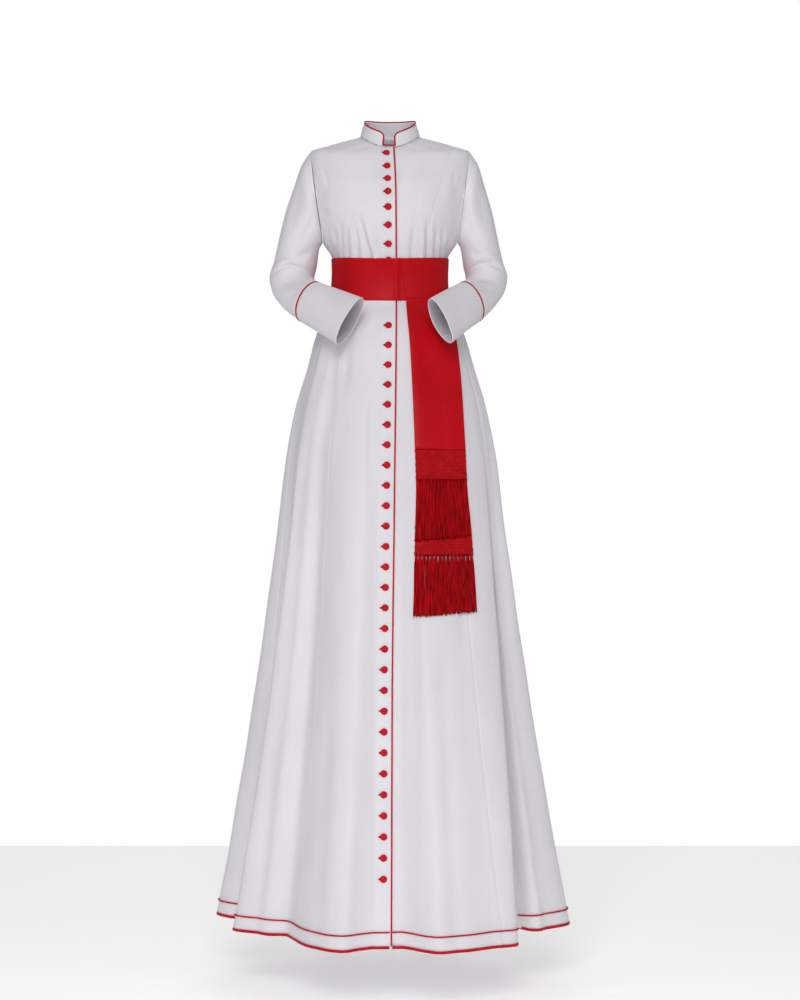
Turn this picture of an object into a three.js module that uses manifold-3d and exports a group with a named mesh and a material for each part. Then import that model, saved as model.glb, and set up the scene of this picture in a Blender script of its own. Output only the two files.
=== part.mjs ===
// Cassock with sash, worn: hollow walls of cloth on a standing figure who is left out.
// Millimetres. +Z up, the wearer faces -Y, the wearer's left is +X.
// The origin is between the shoulders, level with the base of the neck.

import * as THREE from "three";
import { mergeVertices } from "three/addons/utils/BufferGeometryUtils.js";
import Module from "manifold-3d";

const wasm = await Module();
wasm.setup();

// ---- driving sizes -------------------------------------------------------------------------

const CLOTH = 1.6; // thickness of the cassock's cloth
const SATIN = 1.3; // thickness of the sash
const COLLAR_BAND = 2.0; // thickness of the stiffened collar
const SEAM = 0.15; // each piece stops this far short of a seam line
const SEAT = 0.35; // what lies on cloth stands this far off it
const PIPING = 1.4; // radius of the corded piping
const UNDERLAP = 26; // the left front runs this far under the right one
const BUTTON_INSET = 13; // centre of the buttons, from the right front's edge
const LAP_DROP = CLOTH + 0.45; // how far the underlap is set back
const LAP_BLEND = 28; // the left front comes level again over this width

const BUTTON = { radius: 6.4, rim: 1.2, shoulder: 4.2, shoulderHeight: 3.5, height: 4.2, sides: 8 };
const BODICE_BUTTONS = [-26, -52, -77, -102, -131, -164, -198, -227.5]; // heights
const SKIRT_BUTTONS = { count: 28, top: -351, pitch: 37.1 };

const HEM_FOOT = -1469; // the panels' lower edge
const HEM_LINE = -1445; // the piping line above the hem
const BINDING = { height: 5.2, proud: 1.1, gap: 0.4 };

const COLUMN_BACK = 12; // steps across one back
const TIP_DROP = 0.06; // a side front's tip lies this share of a level under its first one
const LOOK = 0.5; // degrees to each side over which the cloth's direction is taken
const FRONT_LIMIT = 88; // angles on the front end here

// A level is one ring of the body. side, front and back are the ring's heights there; half is its
// half width, fore and aft its depths before and behind the side seams, and round the exponent of
// the oval. seam is the princess seam's distance from the middle, and arm the armhole's.
function level(name, side, front, back, half, fore, aft, round, seam, arm = half) {
  return { name, side, front, back, half, fore, aft, round, seam, arm };
}

const SEAM_SHARE = 0.6018; // princess seam over half width in the skirt: the sine of 37 degrees

// A level of the skirt: one height all round, as deep as its flare makes it.
const SKIRT_TOP = { half: 112, fore: 88, aft: 76 };
const HEM_RADIUS = 316;

function skirt(name, height, half) {
  const flare = (half - SKIRT_TOP.half) / (HEM_RADIUS - SKIRT_TOP.half);
  const fore = THREE.MathUtils.lerp(SKIRT_TOP.fore, HEM_RADIUS, flare);
  const aft = THREE.MathUtils.lerp(SKIRT_TOP.aft, HEM_RADIUS, flare);
  return level(name, height, height, height, half, fore, aft, 2, half * SEAM_SHARE);
}

const LEVELS = [
  //     name          side  front   back  half fore  aft round seam  arm
  level("neck", 14, -12.5, 20, 57, 60, 50, 2.0, 57),
  level("yoke", 5, -17, 10, 90, 66, 58, 2.05, 90),
  level("seam_start", -4, -21, 0, 122, 70, 63, 2.15, 122),
  level("shoulder", -15, -28, -16, 152, 76, 70, 2.3, 116),
  level("armhole_1", -36, -42, -38, 155, 84, 78, 2.4, 110, 148.5),
  level("armhole_2", -58, -62, -60, 154, 94, 84, 2.4, 103.5, 145.5),
  level("armhole_3", -80, -82, -80, 152, 104, 90, 2.4, 97, 142.5),
  level("armhole_4", -104, -104, -104, 147, 110, 92, 2.35, 90, 139),
  level("bust", -128, -128, -128, 141.5, 114, 92, 2.3, 83, 135.5),
  level("armhole_6", -150, -150, -150, 136.5, 112, 90, 2.2, 77, 132),
  level("armhole_7", -170, -171, -170, 131.5, 108, 87.5, 2.1, 72, 129),
  level("armpit", -186, -188, -186, 127, 103, 85, 2.0, 69),
  level("sash_top", -217, -224, -217, 110, 90, 78, 2.0, 63),
  level("waist", -257, -263, -257, 109, 86, 74, 2.0, 62),
  level("sash_foot", -297, -303, -297, SKIRT_TOP.half, SKIRT_TOP.fore, SKIRT_TOP.aft, 2.0, 63),
  skirt("flare_1", -328, 126),
  skirt("flare_2", -361, 140),
  skirt("hip", -424, 157),
  skirt("thigh_1", -500, 179),
  skirt("thigh_2", -590, 195),
  skirt("knee", -720, 209),
  skirt("calf", -1040, 249),
  skirt("ankle", -1350, 296),
  skirt("hem_line", HEM_LINE, 312),
  skirt("hem", HEM_FOOT, HEM_RADIUS),
];

const INDEX = Object.fromEntries(LEVELS.map((row, i) => [row.name, i]));
const LAST = LEVELS.length - 1;

// The skirt's folds. The angle is counted from the middle of the front, positive to the wearer's
// left; top and hem are a ridge's or valley's angle under the sash and at the hem, and push is how
// far it stands out (or in) at the hem.
const FOLDS = [
  { top: -180, hem: -180, push: -15 },
  { top: -163, hem: -163, push: 18 },
  { top: -146, hem: -146, push: -32 },
  { top: -126, hem: -126, push: 22 },
  { top: -114, hem: -114, push: -14 },
  { top: -101, hem: -103, push: 26 },
  { top: -79, hem: -86, push: -56 },
  { top: -68, hem: -77, push: -54 },
  { top: -59, hem: -71, push: -8 },
  { top: -50, hem: -60, push: -34 },
  { top: -43, hem: -49, push: -60 },
  { top: -14, hem: -15, push: 16 },
  { top: -5, hem: -5, push: -30 },
  { top: 5, hem: 4, push: -34 },
  { top: 16, hem: 16, push: 30 },
  { top: 34, hem: 33, push: 20 },
  { top: 66, hem: 41, push: 28 },
  { top: 74, hem: 57, push: -92 },
  { top: 80, hem: 70, push: -14 },
  { top: 86, hem: 84, push: 24 },
  { top: 112, hem: 112, push: -30 },
  { top: 128, hem: 128, push: 20 },
  { top: 146, hem: 146, push: -35 },
  { top: 163, hem: 163, push: 15 },
  { top: 180, hem: 180, push: -15 },
];
const FOLD_GROWTH = 1; // how the folds deepen from the sash to the hem
const FOLD_START = -300;

// The right front's edge: its distance from the middle, by height.
const FRONT_EDGE = [
  { height: -12, across: 6 },
  { height: -85, across: 9.4 },
  { height: -118, across: 10 },
  { height: -303, across: 10.7 },
  { height: -685, across: 7.2 },
  { height: -1023, across: 3.5 },
  { height: -1475, across: 2.2 },
];

// Sleeves. Each ring runs from an outer point (over the elbow) to an inner one (in the crook):
// across is the distance from the middle, depth the ring's middle along Y, and bulge the vector
// from that middle to the ring's front.
function ring(outerAcross, outerHeight, innerAcross, innerHeight, depth, bulge) {
  return { outerAcross, outerHeight, innerAcross, innerHeight, depth, bulge };
}

const UPPER_SLEEVE = [
  ring(166, -36, 129, -188, -1, [0, -49, -2]),
  ring(180, -72, 131, -191, 1, [0, -50, -6]),
  ring(197, -122, 134, -196, 3, [0, -49, -6]),
  ring(211, -178, 136, -207, 5, [0, -47, -4]),
  ring(221, -222, 140, -234, 7, [0, -45, 0]),
  ring(229, -252, 144, -250, 6, [-3, -44, 4]),
  ring(224, -276, 143, -257, -4, [-8, -42, 8]),
  ring(204, -309, 138, -262, -34, [-13, -38, 10]),
];
const CUFF_SEAM = ring(170, -339, 133, -267, -68, [-17, -34, 9]);
const CUFF_END = {
  right: ring(96, -390, 49, -305, -162, [-10, -35, 4]),
  left: ring(112, -388, 72, -307, -172, [-11, -34, 4]),
};
const LEFT_SLIMMER = 6; // the left sleeve's outer side lies this much closer in
const SLIMMER_FROM = 3; // from this ring of the upper sleeve on
const CUFF_RINGS = [0.03, 0.34, 0.67, 1]; // along the cuff, from its seam to its end
const CUFF_PIPING_AT = 0.0145;

// The front piping starts this share of a level under the neck seam, and lies a little sunk.
const FRONT_PIPING = { start: 0.3, sunk: 0.15 };

// The collar's top edge: its half width and depths; corner is the angle over which each end is
// rounded at the notch.
const COLLAR = { half: 49, fore: 53, aft: 45, corner: 3.5, columns: 24 };
// The height of that edge by the angle from the middle of the front.
const COLLAR_TOP = [
  { angle: 0, height: 7.5 },
  { angle: 20, height: 15 },
  { angle: 35, height: 20.3 },
  { angle: 55, height: 27.6 },
  { angle: 75, height: 35.5 },
  { angle: 90, height: 41.5 },
  { angle: 110, height: 45 },
  { angle: 140, height: 47 },
  { angle: 180, height: 47.5 },
];
const NOTCH = { right: -15, left: 12 }; // the notch's sides, across
// The piping at the notch's corners: how far it moves aside and down, and its bend on the way up.
const NOTCH_TURN = { aside: 0.7, down: 0.2, bend: 0.6 };

// The band: angles of its hidden start and of its last full column, where the end's slanting line
// lies, and how far it is lifted over what it covers.
const SASH = {
  start: 44,
  lapRamp: 40,
  lastColumn: 17.5,
  endTop: 19,
  endFoot: 30,
  overPiping: 1.3,
  overButton: 6.4,
  besideButton: 2.4,
  levelFrom: 6, // the end lies level on the layer under it for this many degrees
};

// The sash's two hanging ends. left and right are the edges, across, by height.
const TAIL_EDGES = [
  { height: -303, left: 30, right: 94 },
  { height: -340, left: 33, right: 112 },
  { height: -385, left: 37, right: 126 },
  { height: -565, left: 45.5, right: 139 },
  { height: -650, left: 48, right: 143 },
  { height: -750, left: 45.5, right: 152 },
  { height: -885, left: 42, right: 161 },
];
const TAIL_COLUMNS = 8;
const TAIL_TURN = 38; // the angle up to which the tails follow the skirt
const TAIL_TANGENT = 6; // their direction there is taken over this angle
const TAILS = {
  front: { out: 3.8, satinFoot: -583, knotFoot: -636, fringeFoot: -750, slope: 9 },
  back: { out: 1.5, satinFoot: -722, knotFoot: -773, fringeFoot: -886, slope: 7 },
};
const KNOTS_THICK = 1.7;
const STRANDS = 30; // on each end
const STRAND = 1.25; // radius of a strand
const ROOT_SHARE = 0.4; // a strand starts this far down inside the cord that it hangs from
const HEADING = { height: 3.4, thick: 3, columns: 8 }; // the cord that the strands hang from
const HALVINGS = 24; // of the angle, when a point of the front is looked for
const ROW_CLEAR = 12; // the satin's rows keep this far from its top and foot
const PIECE_GAP = 0.3;

const COLOURS = {
  cloth: new THREE.Color(0.83, 0.82, 0.85),
  satin: new THREE.Color(0.6, 0.02, 0.03),
  trim: new THREE.Color(0.55, 0.02, 0.04),
};

// ---- small helpers -------------------------------------------------------------------------

const { lerp, degToRad, radToDeg, smoothstep, clamp } = THREE.MathUtils;
const vec = (x, y, z) => new THREE.Vector3(x, y, z);
const range = (count) => Array.from({ length: count }, (_, i) => i);

// The value of one column of a table at a height, between its rows.
function fromTable(table, height, column) {
  let i = 0;
  while (i < table.length - 2 && height < table[i + 1].height) i += 1;
  const share = (height - table[i].height) / (table[i + 1].height - table[i].height);
  return lerp(table[i][column], table[i + 1][column], clamp(share, 0, 1));
}

// ---- the body's surface --------------------------------------------------------------------

function signedPower(value, power) {
  return Math.sign(value) * Math.abs(value) ** power;
}

function foldPush(angle, height) {
  const down = clamp((FOLD_START - height) / (FOLD_START - HEM_FOOT), 0, 1);
  if (down === 0) return 0;
  const at = (fold) => lerp(fold.top, fold.hem, down);
  let i = 0;
  while (i < FOLDS.length - 2 && angle > at(FOLDS[i + 1])) i += 1;
  const share = smoothstep(angle, at(FOLDS[i]), at(FOLDS[i + 1]));
  return down ** FOLD_GROWTH * lerp(FOLDS[i].push, FOLDS[i + 1].push, share);
}

// A point of one ring of the body at an angle from the middle of the front.
function ringPoint(row, angle) {
  const sine = Math.sin(degToRad(angle));
  const cosine = Math.cos(degToRad(angle));
  const before = cosine > 0;
  const power = 2 / row.round;
  const x = row.half * signedPower(sine, power);
  const y = -(before ? row.fore : row.aft) * signedPower(cosine, power);
  const z = lerp(row.side, before ? row.front : row.back, cosine * cosine);
  const push = foldPush(angle, z);
  return vec(x + push * sine, y - push * cosine, z);
}

// The outward direction of the cloth at a ring.
function outward(i, angle) {
  const along = ringPoint(LEVELS[i], angle + LOOK).sub(ringPoint(LEVELS[i], angle - LOOK));
  const above = ringPoint(LEVELS[Math.max(i - 1, 0)], angle);
  const below = ringPoint(LEVELS[Math.min(i + 1, LAST)], angle);
  return along.cross(above.sub(below)).normalize();
}

// A point on the cloth, moved out by a distance: v counts levels, and lies between two of them
// where it isn't whole.
function onCloth(v, angle, out = 0) {
  const i = Math.min(Math.floor(v), LAST - 1);
  const at = (row) => ringPoint(LEVELS[row], angle).addScaledVector(outward(row, angle), out);
  return at(i).lerp(at(i + 1), v - i);
}

// The angle at which a ring lies this far across from the middle, on the front.
function angleAcross(row, across) {
  const share = Math.min(Math.abs(across) / row.half, 1);
  let angle = Math.sign(across) * radToDeg(Math.asin(share ** (row.round / 2)));
  const passes = 4;
  const longest = 5;
  for (let pass = 0; pass < passes && Math.abs(angle) < FRONT_LIMIT; pass += 1) {
    const slope = ringPoint(row, angle + LOOK).x - ringPoint(row, angle - LOOK).x;
    angle += clamp((across - ringPoint(row, angle).x) / slope, -longest, longest);
  }
  return angle;
}

function seamAngle(row) {
  return row.seam >= row.half ? 90 : radToDeg(Math.asin((row.seam / row.half) ** (row.round / 2)));
}

function armholeAngle(row) {
  return row.arm >= row.half ? 90 : radToDeg(Math.asin((row.arm / row.half) ** (row.round / 2)));
}

function edgeAcross(row) {
  return fromTable(FRONT_EDGE, row.front, "across");
}

// Shares of the way across a front, close together where a fold turns.
const FRONT_RIGHT_STEPS = [0, 0.07, 0.14, 0.21, 0.28, 0.4, 0.52, 0.65, 0.76, 0.88];
const FRONT_LEFT_STEPS = [0.09, 0.17, 0.26, 0.34, 0.42, 0.56, 0.72, 0.86, 1];
const SIDE_STEPS = [0, 0.1, 0.2, 0.3, 0.41, 0.52, 0.62, 0.72, 0.8, 0.86, 0.92, 1];
const even = (count) => range(count + 1).map((i) => i / count);
const spread = (from, to, steps) => steps.map((share) => lerp(from, to, share));

function lapAngles(row) {
  const edge = edgeAcross(row);
  return [edge - UNDERLAP, edge - BUTTON_INSET, edge].map((across) => angleAcross(row, across));
}

// Each panel's angles across one ring, in the order of growing angle.
const PANEL_ANGLES = {
  back_right: (row) => spread(-180, armholeAngle(row) - 180, even(COLUMN_BACK)),
  side_front_right: (row) => spread(-armholeAngle(row), -seamAngle(row), SIDE_STEPS),
  front_right: (row) => {
    const lap = lapAngles(row);
    return [...spread(-seamAngle(row), lap[0], FRONT_RIGHT_STEPS), ...lap];
  },
  front_left: (row) => {
    const lap = lapAngles(row);
    return [...lap, ...spread(lap[2], seamAngle(row), FRONT_LEFT_STEPS)];
  },
  side_front_left: (row) => spread(seamAngle(row), armholeAngle(row), SIDE_STEPS),
  back_left: (row) => spread(180 - armholeAngle(row), 180, even(COLUMN_BACK)),
};

// ---- solids from grids of points -----------------------------------------------------------

const SAME_POINT = 1e-4;

// A closed body from triangles of points: equal points are joined, and triangles that shrank to a
// line are dropped.
function closedBody(triangles) {
  const flat = new Float32Array(triangles.flat().flatMap((p) => [p.x, p.y, p.z]));
  const geometry = new THREE.BufferGeometry();
  geometry.setAttribute("position", new THREE.BufferAttribute(flat, 3));
  const joined = mergeVertices(geometry, SAME_POINT);
  const corners = joined.index.array;
  const kept = [];
  for (let i = 0; i < corners.length; i += 3) {
    const [a, b, c] = [corners[i], corners[i + 1], corners[i + 2]];
    if (a !== b && b !== c && c !== a) kept.push(a, b, c);
  }
  joined.setIndex(enclosed(joined, kept) < 0 ? turned(kept) : kept);
  return joined;
}

// Six times the volume inside the triangles.
function enclosed(geometry, corners) {
  const position = geometry.getAttribute("position");
  const at = (i) => vec(0, 0, 0).fromBufferAttribute(position, corners[i]);
  let sum = 0;
  for (let i = 0; i < corners.length; i += 3) sum += at(i).dot(at(i + 1).cross(at(i + 2)));
  return sum;
}

function turned(corners) {
  return corners.map((_, i) => corners[i - (i % 3) + (3 - (i % 3)) % 3]);
}

function strip(first, second, closed) {
  const steps = closed ? first.length : first.length - 1;
  return range(steps).flatMap((i) => {
    const next = (i + 1) % first.length;
    return [
      [first[i], second[i], second[next]],
      [first[i], second[next], first[next]],
    ];
  });
}

const faces = (grid, closed) => grid.slice(1).flatMap((row, i) => strip(grid[i], row, closed));
const backwards = (triangles) => triangles.map(([a, b, c]) => [a, c, b]);

// A wall of cloth between an outer and an inner grid of points, closed along its edges. A grid
// that is closed runs all round, as a sleeve does.
function wall(outer, inner, closed = false) {
  const last = outer.length - 1;
  const edges = [strip(inner[0], outer[0], closed), strip(outer[last], inner[last], closed)];
  if (!closed) {
    const end = outer[0].length - 1;
    const column = (grid, k) => grid.map((row) => row[k]);
    edges.push(strip(column(outer, 0), column(inner, 0), false));
    edges.push(strip(column(inner, end), column(outer, end), false));
  }
  return closedBody([...faces(outer, closed), ...backwards(faces(inner, closed)), ...edges.flat()]);
}

function cap(loop) {
  return range(loop.length - 2).map((i) => [loop[0], loop[i + 1], loop[i + 2]]);
}

// A cord through rings of points; one that is closed has no ends.
function cord(rings, closed = false) {
  if (closed) return closedBody(faces([...rings, rings[0]], true));
  const ends = [...cap(rings[0]), ...backwards(cap(rings[rings.length - 1]))];
  return closedBody([...faces(rings, true), ...ends]);
}

// The four corners of a cord's section: two directions and how far each way.
function diamond(centre, first, second, radius) {
  const corner = (direction, size) => centre.clone().addScaledVector(direction, size);
  return [
    corner(first, radius),
    corner(second, radius),
    corner(first, -radius),
    corner(second, -radius),
  ];
}

// ---- the object ----------------------------------------------------------------------------

const cassock = new THREE.Group();

function place(name, geometry, colour, roughness) {
  geometry.computeVertexNormals();
  const material = new THREE.MeshStandardMaterial({ color: colour, roughness, metalness: 0 });
  const mesh = new THREE.Mesh(geometry, material);
  mesh.name = name;
  cassock.add(mesh);
}

const placeCloth = (name, geometry) => place(name, geometry, COLOURS.cloth, 0.75);
const placeSatin = (name, geometry) => place(name, geometry, COLOURS.satin, 0.45);
const placeTrim = (name, geometry) => place(name, geometry, COLOURS.trim, 0.5);

// ---- body panels ---------------------------------------------------------------------------

// One ring's angles, with the ends drawn in from the seams; at a point where the panel has no
// width they all meet.
function seamed(i, angles) {
  const from = angles[0];
  const to = angles[angles.length - 1];
  if (to === from) return angles;
  const width = (angle) => {
    const before = ringPoint(LEVELS[i], angle - LOOK);
    return ringPoint(LEVELS[i], angle + LOOK).distanceTo(before) / (2 * LOOK);
  };
  const start = from + SEAM / width(from);
  const end = to - SEAM / width(to);
  return angles.map((angle) => lerp(start, end, (angle - from) / (to - from)));
}

const lapDrop = (past) => -LAP_DROP * (1 - smoothstep(past, 0, LAP_BLEND));

// How far in the left front lies at a point: it passes under the right one's edge.
function setBack(name, i, angle) {
  if (name !== "front_left") return 0;
  return lapDrop(ringPoint(LEVELS[i], angle).x - edgeAcross(LEVELS[i]));
}

function panel(name, top) {
  const rows = range(LEVELS.length - top).map((i) => i + top);
  const grid = (depth) => rows.map((i) => {
    const lower = i === INDEX.seam_start && top === i ? i + TIP_DROP : i;
    const angles = seamed(i, PANEL_ANGLES[name](LEVELS[i]));
    return angles.map((angle) => onCloth(lower, angle, setBack(name, i, angle) - depth));
  });
  placeCloth(name, wall(grid(0), grid(CLOTH)));
}

function buildPanels() {
  for (const side of ["right", "left"]) {
    panel(`front_${side}`, INDEX.neck);
    panel(`side_front_${side}`, INDEX.seam_start);
    panel(`back_${side}`, INDEX.neck);
  }
}

// ---- sleeves and cuffs ---------------------------------------------------------------------

const ARMHOLE_ROWS = range(INDEX.armpit - INDEX.shoulder + 1).map((i) => i + INDEX.shoulder);
const SLEEVE_SIDES = 2 * (ARMHOLE_ROWS.length - 1);

// The armhole as a loop of points: from the shoulder down the front to the armpit and up the back.
function armholeLoop(sign) {
  const front = ARMHOLE_ROWS.map((i) => ringPoint(LEVELS[i], sign * armholeAngle(LEVELS[i])));
  const back = ARMHOLE_ROWS.map((i) => {
    return ringPoint(LEVELS[i], sign * (180 - armholeAngle(LEVELS[i])));
  });
  const loop = [...front, ...back.slice(1, -1).reverse()];
  return loop.map((p) => p.add(vec(sign * (SEAM + SEAT), 0, 0)));
}

function sleeveRing(sign, shape, slimmer = 0) {
  const outer = vec(sign * (shape.outerAcross - slimmer), shape.depth, shape.outerHeight);
  const inner = vec(sign * shape.innerAcross, shape.depth, shape.innerHeight);
  const middle = outer.clone().add(inner).multiplyScalar(0.5);
  const reach = outer.sub(inner).multiplyScalar(0.5);
  const [x, y, z] = shape.bulge;
  const bulge = vec(-sign * x, y, z);
  return range(SLEEVE_SIDES).map((k) => {
    const turn = (2 * Math.PI * k) / SLEEVE_SIDES;
    const point = middle.clone().addScaledVector(reach, Math.cos(turn));
    return point.addScaledVector(bulge, Math.sin(turn));
  });
}

function betweenRings(first, second, share) {
  return first.map((p, k) => p.clone().lerp(second[k], share));
}

// The same rings, moved by a distance across the wall.
function movedOut(rings, out, sign) {
  return rings.map((loop, i) => loop.map((p, k) => {
    const before = rings[Math.max(i - 1, 0)][k];
    const after = rings[Math.min(i + 1, rings.length - 1)][k];
    const left = loop[(k + loop.length - 1) % loop.length];
    const right = loop[(k + 1) % loop.length];
    const normal = after.clone().sub(before).cross(right.clone().sub(left)).normalize();
    return p.clone().addScaledVector(normal, -sign * out);
  }));
}

function buildSleeve(side) {
  const sign = side === "right" ? -1 : 1;
  const seam = sleeveRing(sign, CUFF_SEAM);
  const end = sleeveRing(sign, CUFF_END[side]);
  const slimmer = side === "left" ? LEFT_SLIMMER : 0;
  const upper = UPPER_SLEEVE.map((shape, k) => {
    return sleeveRing(sign, shape, slimmer * Math.min(k / SLIMMER_FROM, 1));
  });
  const sleeve = [armholeLoop(sign), ...upper, seam];
  placeCloth(`sleeve_${side}`, wall(sleeve, movedOut(sleeve, -CLOTH, sign), true));

  const cuff = CUFF_RINGS.map((share) => betweenRings(seam, end, share));
  placeCloth(`cuff_${side}`, wall(cuff, movedOut(cuff, -CLOTH, sign), true));

  const centres = betweenRings(seam, end, CUFF_PIPING_AT);
  const along = end[0].clone().sub(seam[0]).normalize();
  const middle = centres.reduce((sum, p) => sum.add(p), vec(0, 0, 0)).divideScalar(SLEEVE_SIDES);
  const rings = centres.map((p) => {
    const away = p.clone().sub(middle).normalize();
    return diamond(p.clone().addScaledVector(away, -CLOTH / 2), away, along, PIPING);
  });
  placeTrim(`cuff_piping_${side}`, cord(rings, true));
}

// ---- collar --------------------------------------------------------------------------------

// Shares of the collar's height near the notch, where its corners are rounded.
const CORNER_SHARE = [0.84, 0.96];

function collarHeight(angle) {
  let i = 0;
  while (i < COLLAR_TOP.length - 2 && angle > COLLAR_TOP[i + 1].angle) i += 1;
  const [low, high] = [COLLAR_TOP[i], COLLAR_TOP[i + 1]];
  return lerp(low.height, high.height, (angle - low.angle) / (high.angle - low.angle));
}

// The collar's columns from the notch's left side round the back to its right side: at each, a
// point of the neck seam, one of the top edge, and the way out.
function collarColumns() {
  const row = LEVELS[INDEX.neck];
  const from = angleAcross(row, NOTCH.left);
  const to = angleAcross(row, NOTCH.right) + 360;
  const { corner, columns } = COLLAR;
  const middle = spread(from + 2 * corner, to - 2 * corner, even(columns - 4));
  const angles = [from, from + corner, ...middle, to - corner, to];
  return angles.map((angle, k) => {
    const fromEnd = Math.min(k, angles.length - 1 - k);
    const turn = degToRad(angle);
    const before = Math.cos(turn) > 0;
    const foot = ringPoint(row, angle > 180 ? angle - 360 : angle).add(vec(0, 0, SEAT));
    const height = collarHeight(Math.min(angle, 360 - angle));
    const depth = before ? COLLAR.fore : COLLAR.aft;
    const rim = vec(COLLAR.half * Math.sin(turn), -depth * Math.cos(turn), height);
    const top = foot.clone().lerp(rim, CORNER_SHARE[fromEnd] ?? 1);
    const out = vec(Math.sin(turn) / row.half, -Math.cos(turn) / row.fore, 0).normalize();
    return { foot, top, out };
  });
}

function buildCollar() {
  const columns = collarColumns();
  const grid = (inset) => [0, 0.5, 1].map((share) => {
    return columns.map(({ foot, top, out }) => {
      return foot.clone().lerp(top, share).addScaledVector(out, -inset);
    });
  });
  placeCloth("collar", wall(grid(0), grid(COLLAR_BAND)));

  const clear = PIPING + SEAT + 2 * SEAM;
  const up = vec(0, 0, clear);
  const aside = (column, sign) => vec(sign * clear, 0, 0).add(column.foot);
  const first = columns[0];
  const last = columns[columns.length - 1];
  const edge = columns.map(({ top, out }, k) => {
    const side = k === 0 ? -1 : k === columns.length - 1 ? 1 : 0;
    const moved = vec(side * NOTCH_TURN.aside * clear, 0, -Math.abs(side) * NOTCH_TURN.down);
    return { at: top.clone().add(up).add(moved), out };
  });
  const rise = (column, sign) => {
    const above = column.top.clone().add(vec(sign * clear, 0, 0));
    return aside(column, sign).lerp(above, NOTCH_TURN.bend);
  };
  const path = [
    { at: aside(first, -1).add(up), out: first.out },
    { at: rise(first, -1), out: first.out },
    ...edge,
    { at: rise(last, 1), out: last.out },
    { at: aside(last, 1).add(up), out: last.out },
  ];
  const rings = path.map(({ at, out }, k) => {
    const before = path[(k + path.length - 1) % path.length].at;
    const after = path[(k + 1) % path.length].at;
    const along = after.clone().sub(before).normalize();
    const centre = at.clone().addScaledVector(out, -COLLAR_BAND / 2);
    return diamond(centre, out, along.cross(out).normalize(), PIPING);
  });
  placeTrim("collar_piping", cord(rings, true));
}

// ---- piping, binding and buttons on the body -----------------------------------------------

// The corded piping along the right front's edge, from the neck seam to the hem.
function buildFrontPiping() {
  const stations = [FRONT_PIPING.start, ...range(LAST).map((i) => i + 1)];
  const rings = stations.map((v) => {
    const row = LEVELS[Math.round(v)];
    const angle = angleAcross(row, edgeAcross(row));
    const out = outward(Math.round(v), angle);
    const centre = onCloth(v, angle, -FRONT_PIPING.sunk).add(vec(PIPING + SEAM, 0, 0));
    return diamond(centre, out, vec(1, 0, 0), PIPING);
  });
  placeTrim("front_piping", cord(rings));
}

// The angles of all columns of one ring, from one side of the front edge round to the other.
function aroundFromEdge(row) {
  const left = PANEL_ANGLES.front_left(row).slice(3);
  const right = PANEL_ANGLES.front_right(row);
  return [
    ...left,
    ...PANEL_ANGLES.side_front_left(row).slice(1),
    ...PANEL_ANGLES.back_left(row).slice(1, -1),
    ...PANEL_ANGLES.back_right(row),
    ...PANEL_ANGLES.side_front_right(row).slice(1),
    ...right.slice(1),
  ];
}

function buildHem() {
  const line = LEVELS[INDEX.hem_line];
  const lineRings = aroundFromEdge(line).map((angle) => {
    const out = outward(INDEX.hem_line, angle);
    const along = outward(INDEX.hem_line, angle).cross(vec(0, 0, 1)).normalize();
    const centre = onCloth(INDEX.hem_line, angle, PIPING + SEAT);
    return diamond(centre, out, along.cross(out), PIPING);
  });
  placeTrim("hem_piping", cord(lineRings));

  const bindingRings = aroundFromEdge(LEVELS[LAST]).map((angle) => {
    const out = outward(LAST, angle).setZ(0).normalize();
    const top = ringPoint(LEVELS[LAST], angle).add(vec(0, 0, -BINDING.gap));
    const outer = top.clone().addScaledVector(out, BINDING.proud);
    const inner = top.clone().addScaledVector(out, -CLOTH);
    const down = vec(0, 0, -BINDING.height);
    return [outer, outer.clone().add(down), inner.clone().add(down), inner];
  });
  placeTrim("hem_binding", cord(bindingRings));
}

// The level count at which the front reaches a height.
function levelAt(height) {
  let i = 0;
  while (i < LAST - 1 && LEVELS[i + 1].front > height) i += 1;
  return i + (height - LEVELS[i].front) / (LEVELS[i + 1].front - LEVELS[i].front);
}

function buttonHeights() {
  const { count, top, pitch } = SKIRT_BUTTONS;
  return [...BODICE_BUTTONS, ...range(count).map((i) => top - i * pitch)];
}

// A point of the column that the buttons stand on, and the way out there.
function onButtonColumn(v, out) {
  const i = Math.min(Math.floor(v), LAST - 1);
  const at = (k) => {
    const angle = angleAcross(LEVELS[k], edgeAcross(LEVELS[k]) - BUTTON_INSET);
    return onCloth(k, angle, out);
  };
  return at(i).lerp(at(i + 1), v - i);
}

function buildButtons() {
  const profile = [
    [0, 0],
    [BUTTON.radius, BUTTON.rim],
    [BUTTON.shoulder, BUTTON.shoulderHeight],
    [0, BUTTON.height],
  ].map(([x, y]) => new THREE.Vector2(x, y));
  buttonHeights().forEach((height, k) => {
    const v = levelAt(height);
    const seat = onButtonColumn(v, SEAT);
    const out = onButtonColumn(v, 1 + SEAT).sub(seat).normalize();
    const dome = new THREE.LatheGeometry(profile, BUTTON.sides);
    dome.deleteAttribute("normal");
    dome.deleteAttribute("uv");
    const turn = new THREE.Quaternion().setFromUnitVectors(vec(0, 1, 0), out);
    dome.applyQuaternion(turn);
    dome.translate(seat.x, seat.y, seat.z);
    const flat = dome.toNonIndexed().getAttribute("position");
    const at = (i) => vec(0, 0, 0).fromBufferAttribute(flat, i);
    const triangles = range(flat.count / 3).map((i) => [at(3 * i), at(3 * i + 1), at(3 * i + 2)]);
    placeTrim(`button_${String(k + 1).padStart(2, "0")}`, closedBody(triangles));
  });
}

// ---- sash ----------------------------------------------------------------------------------

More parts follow.
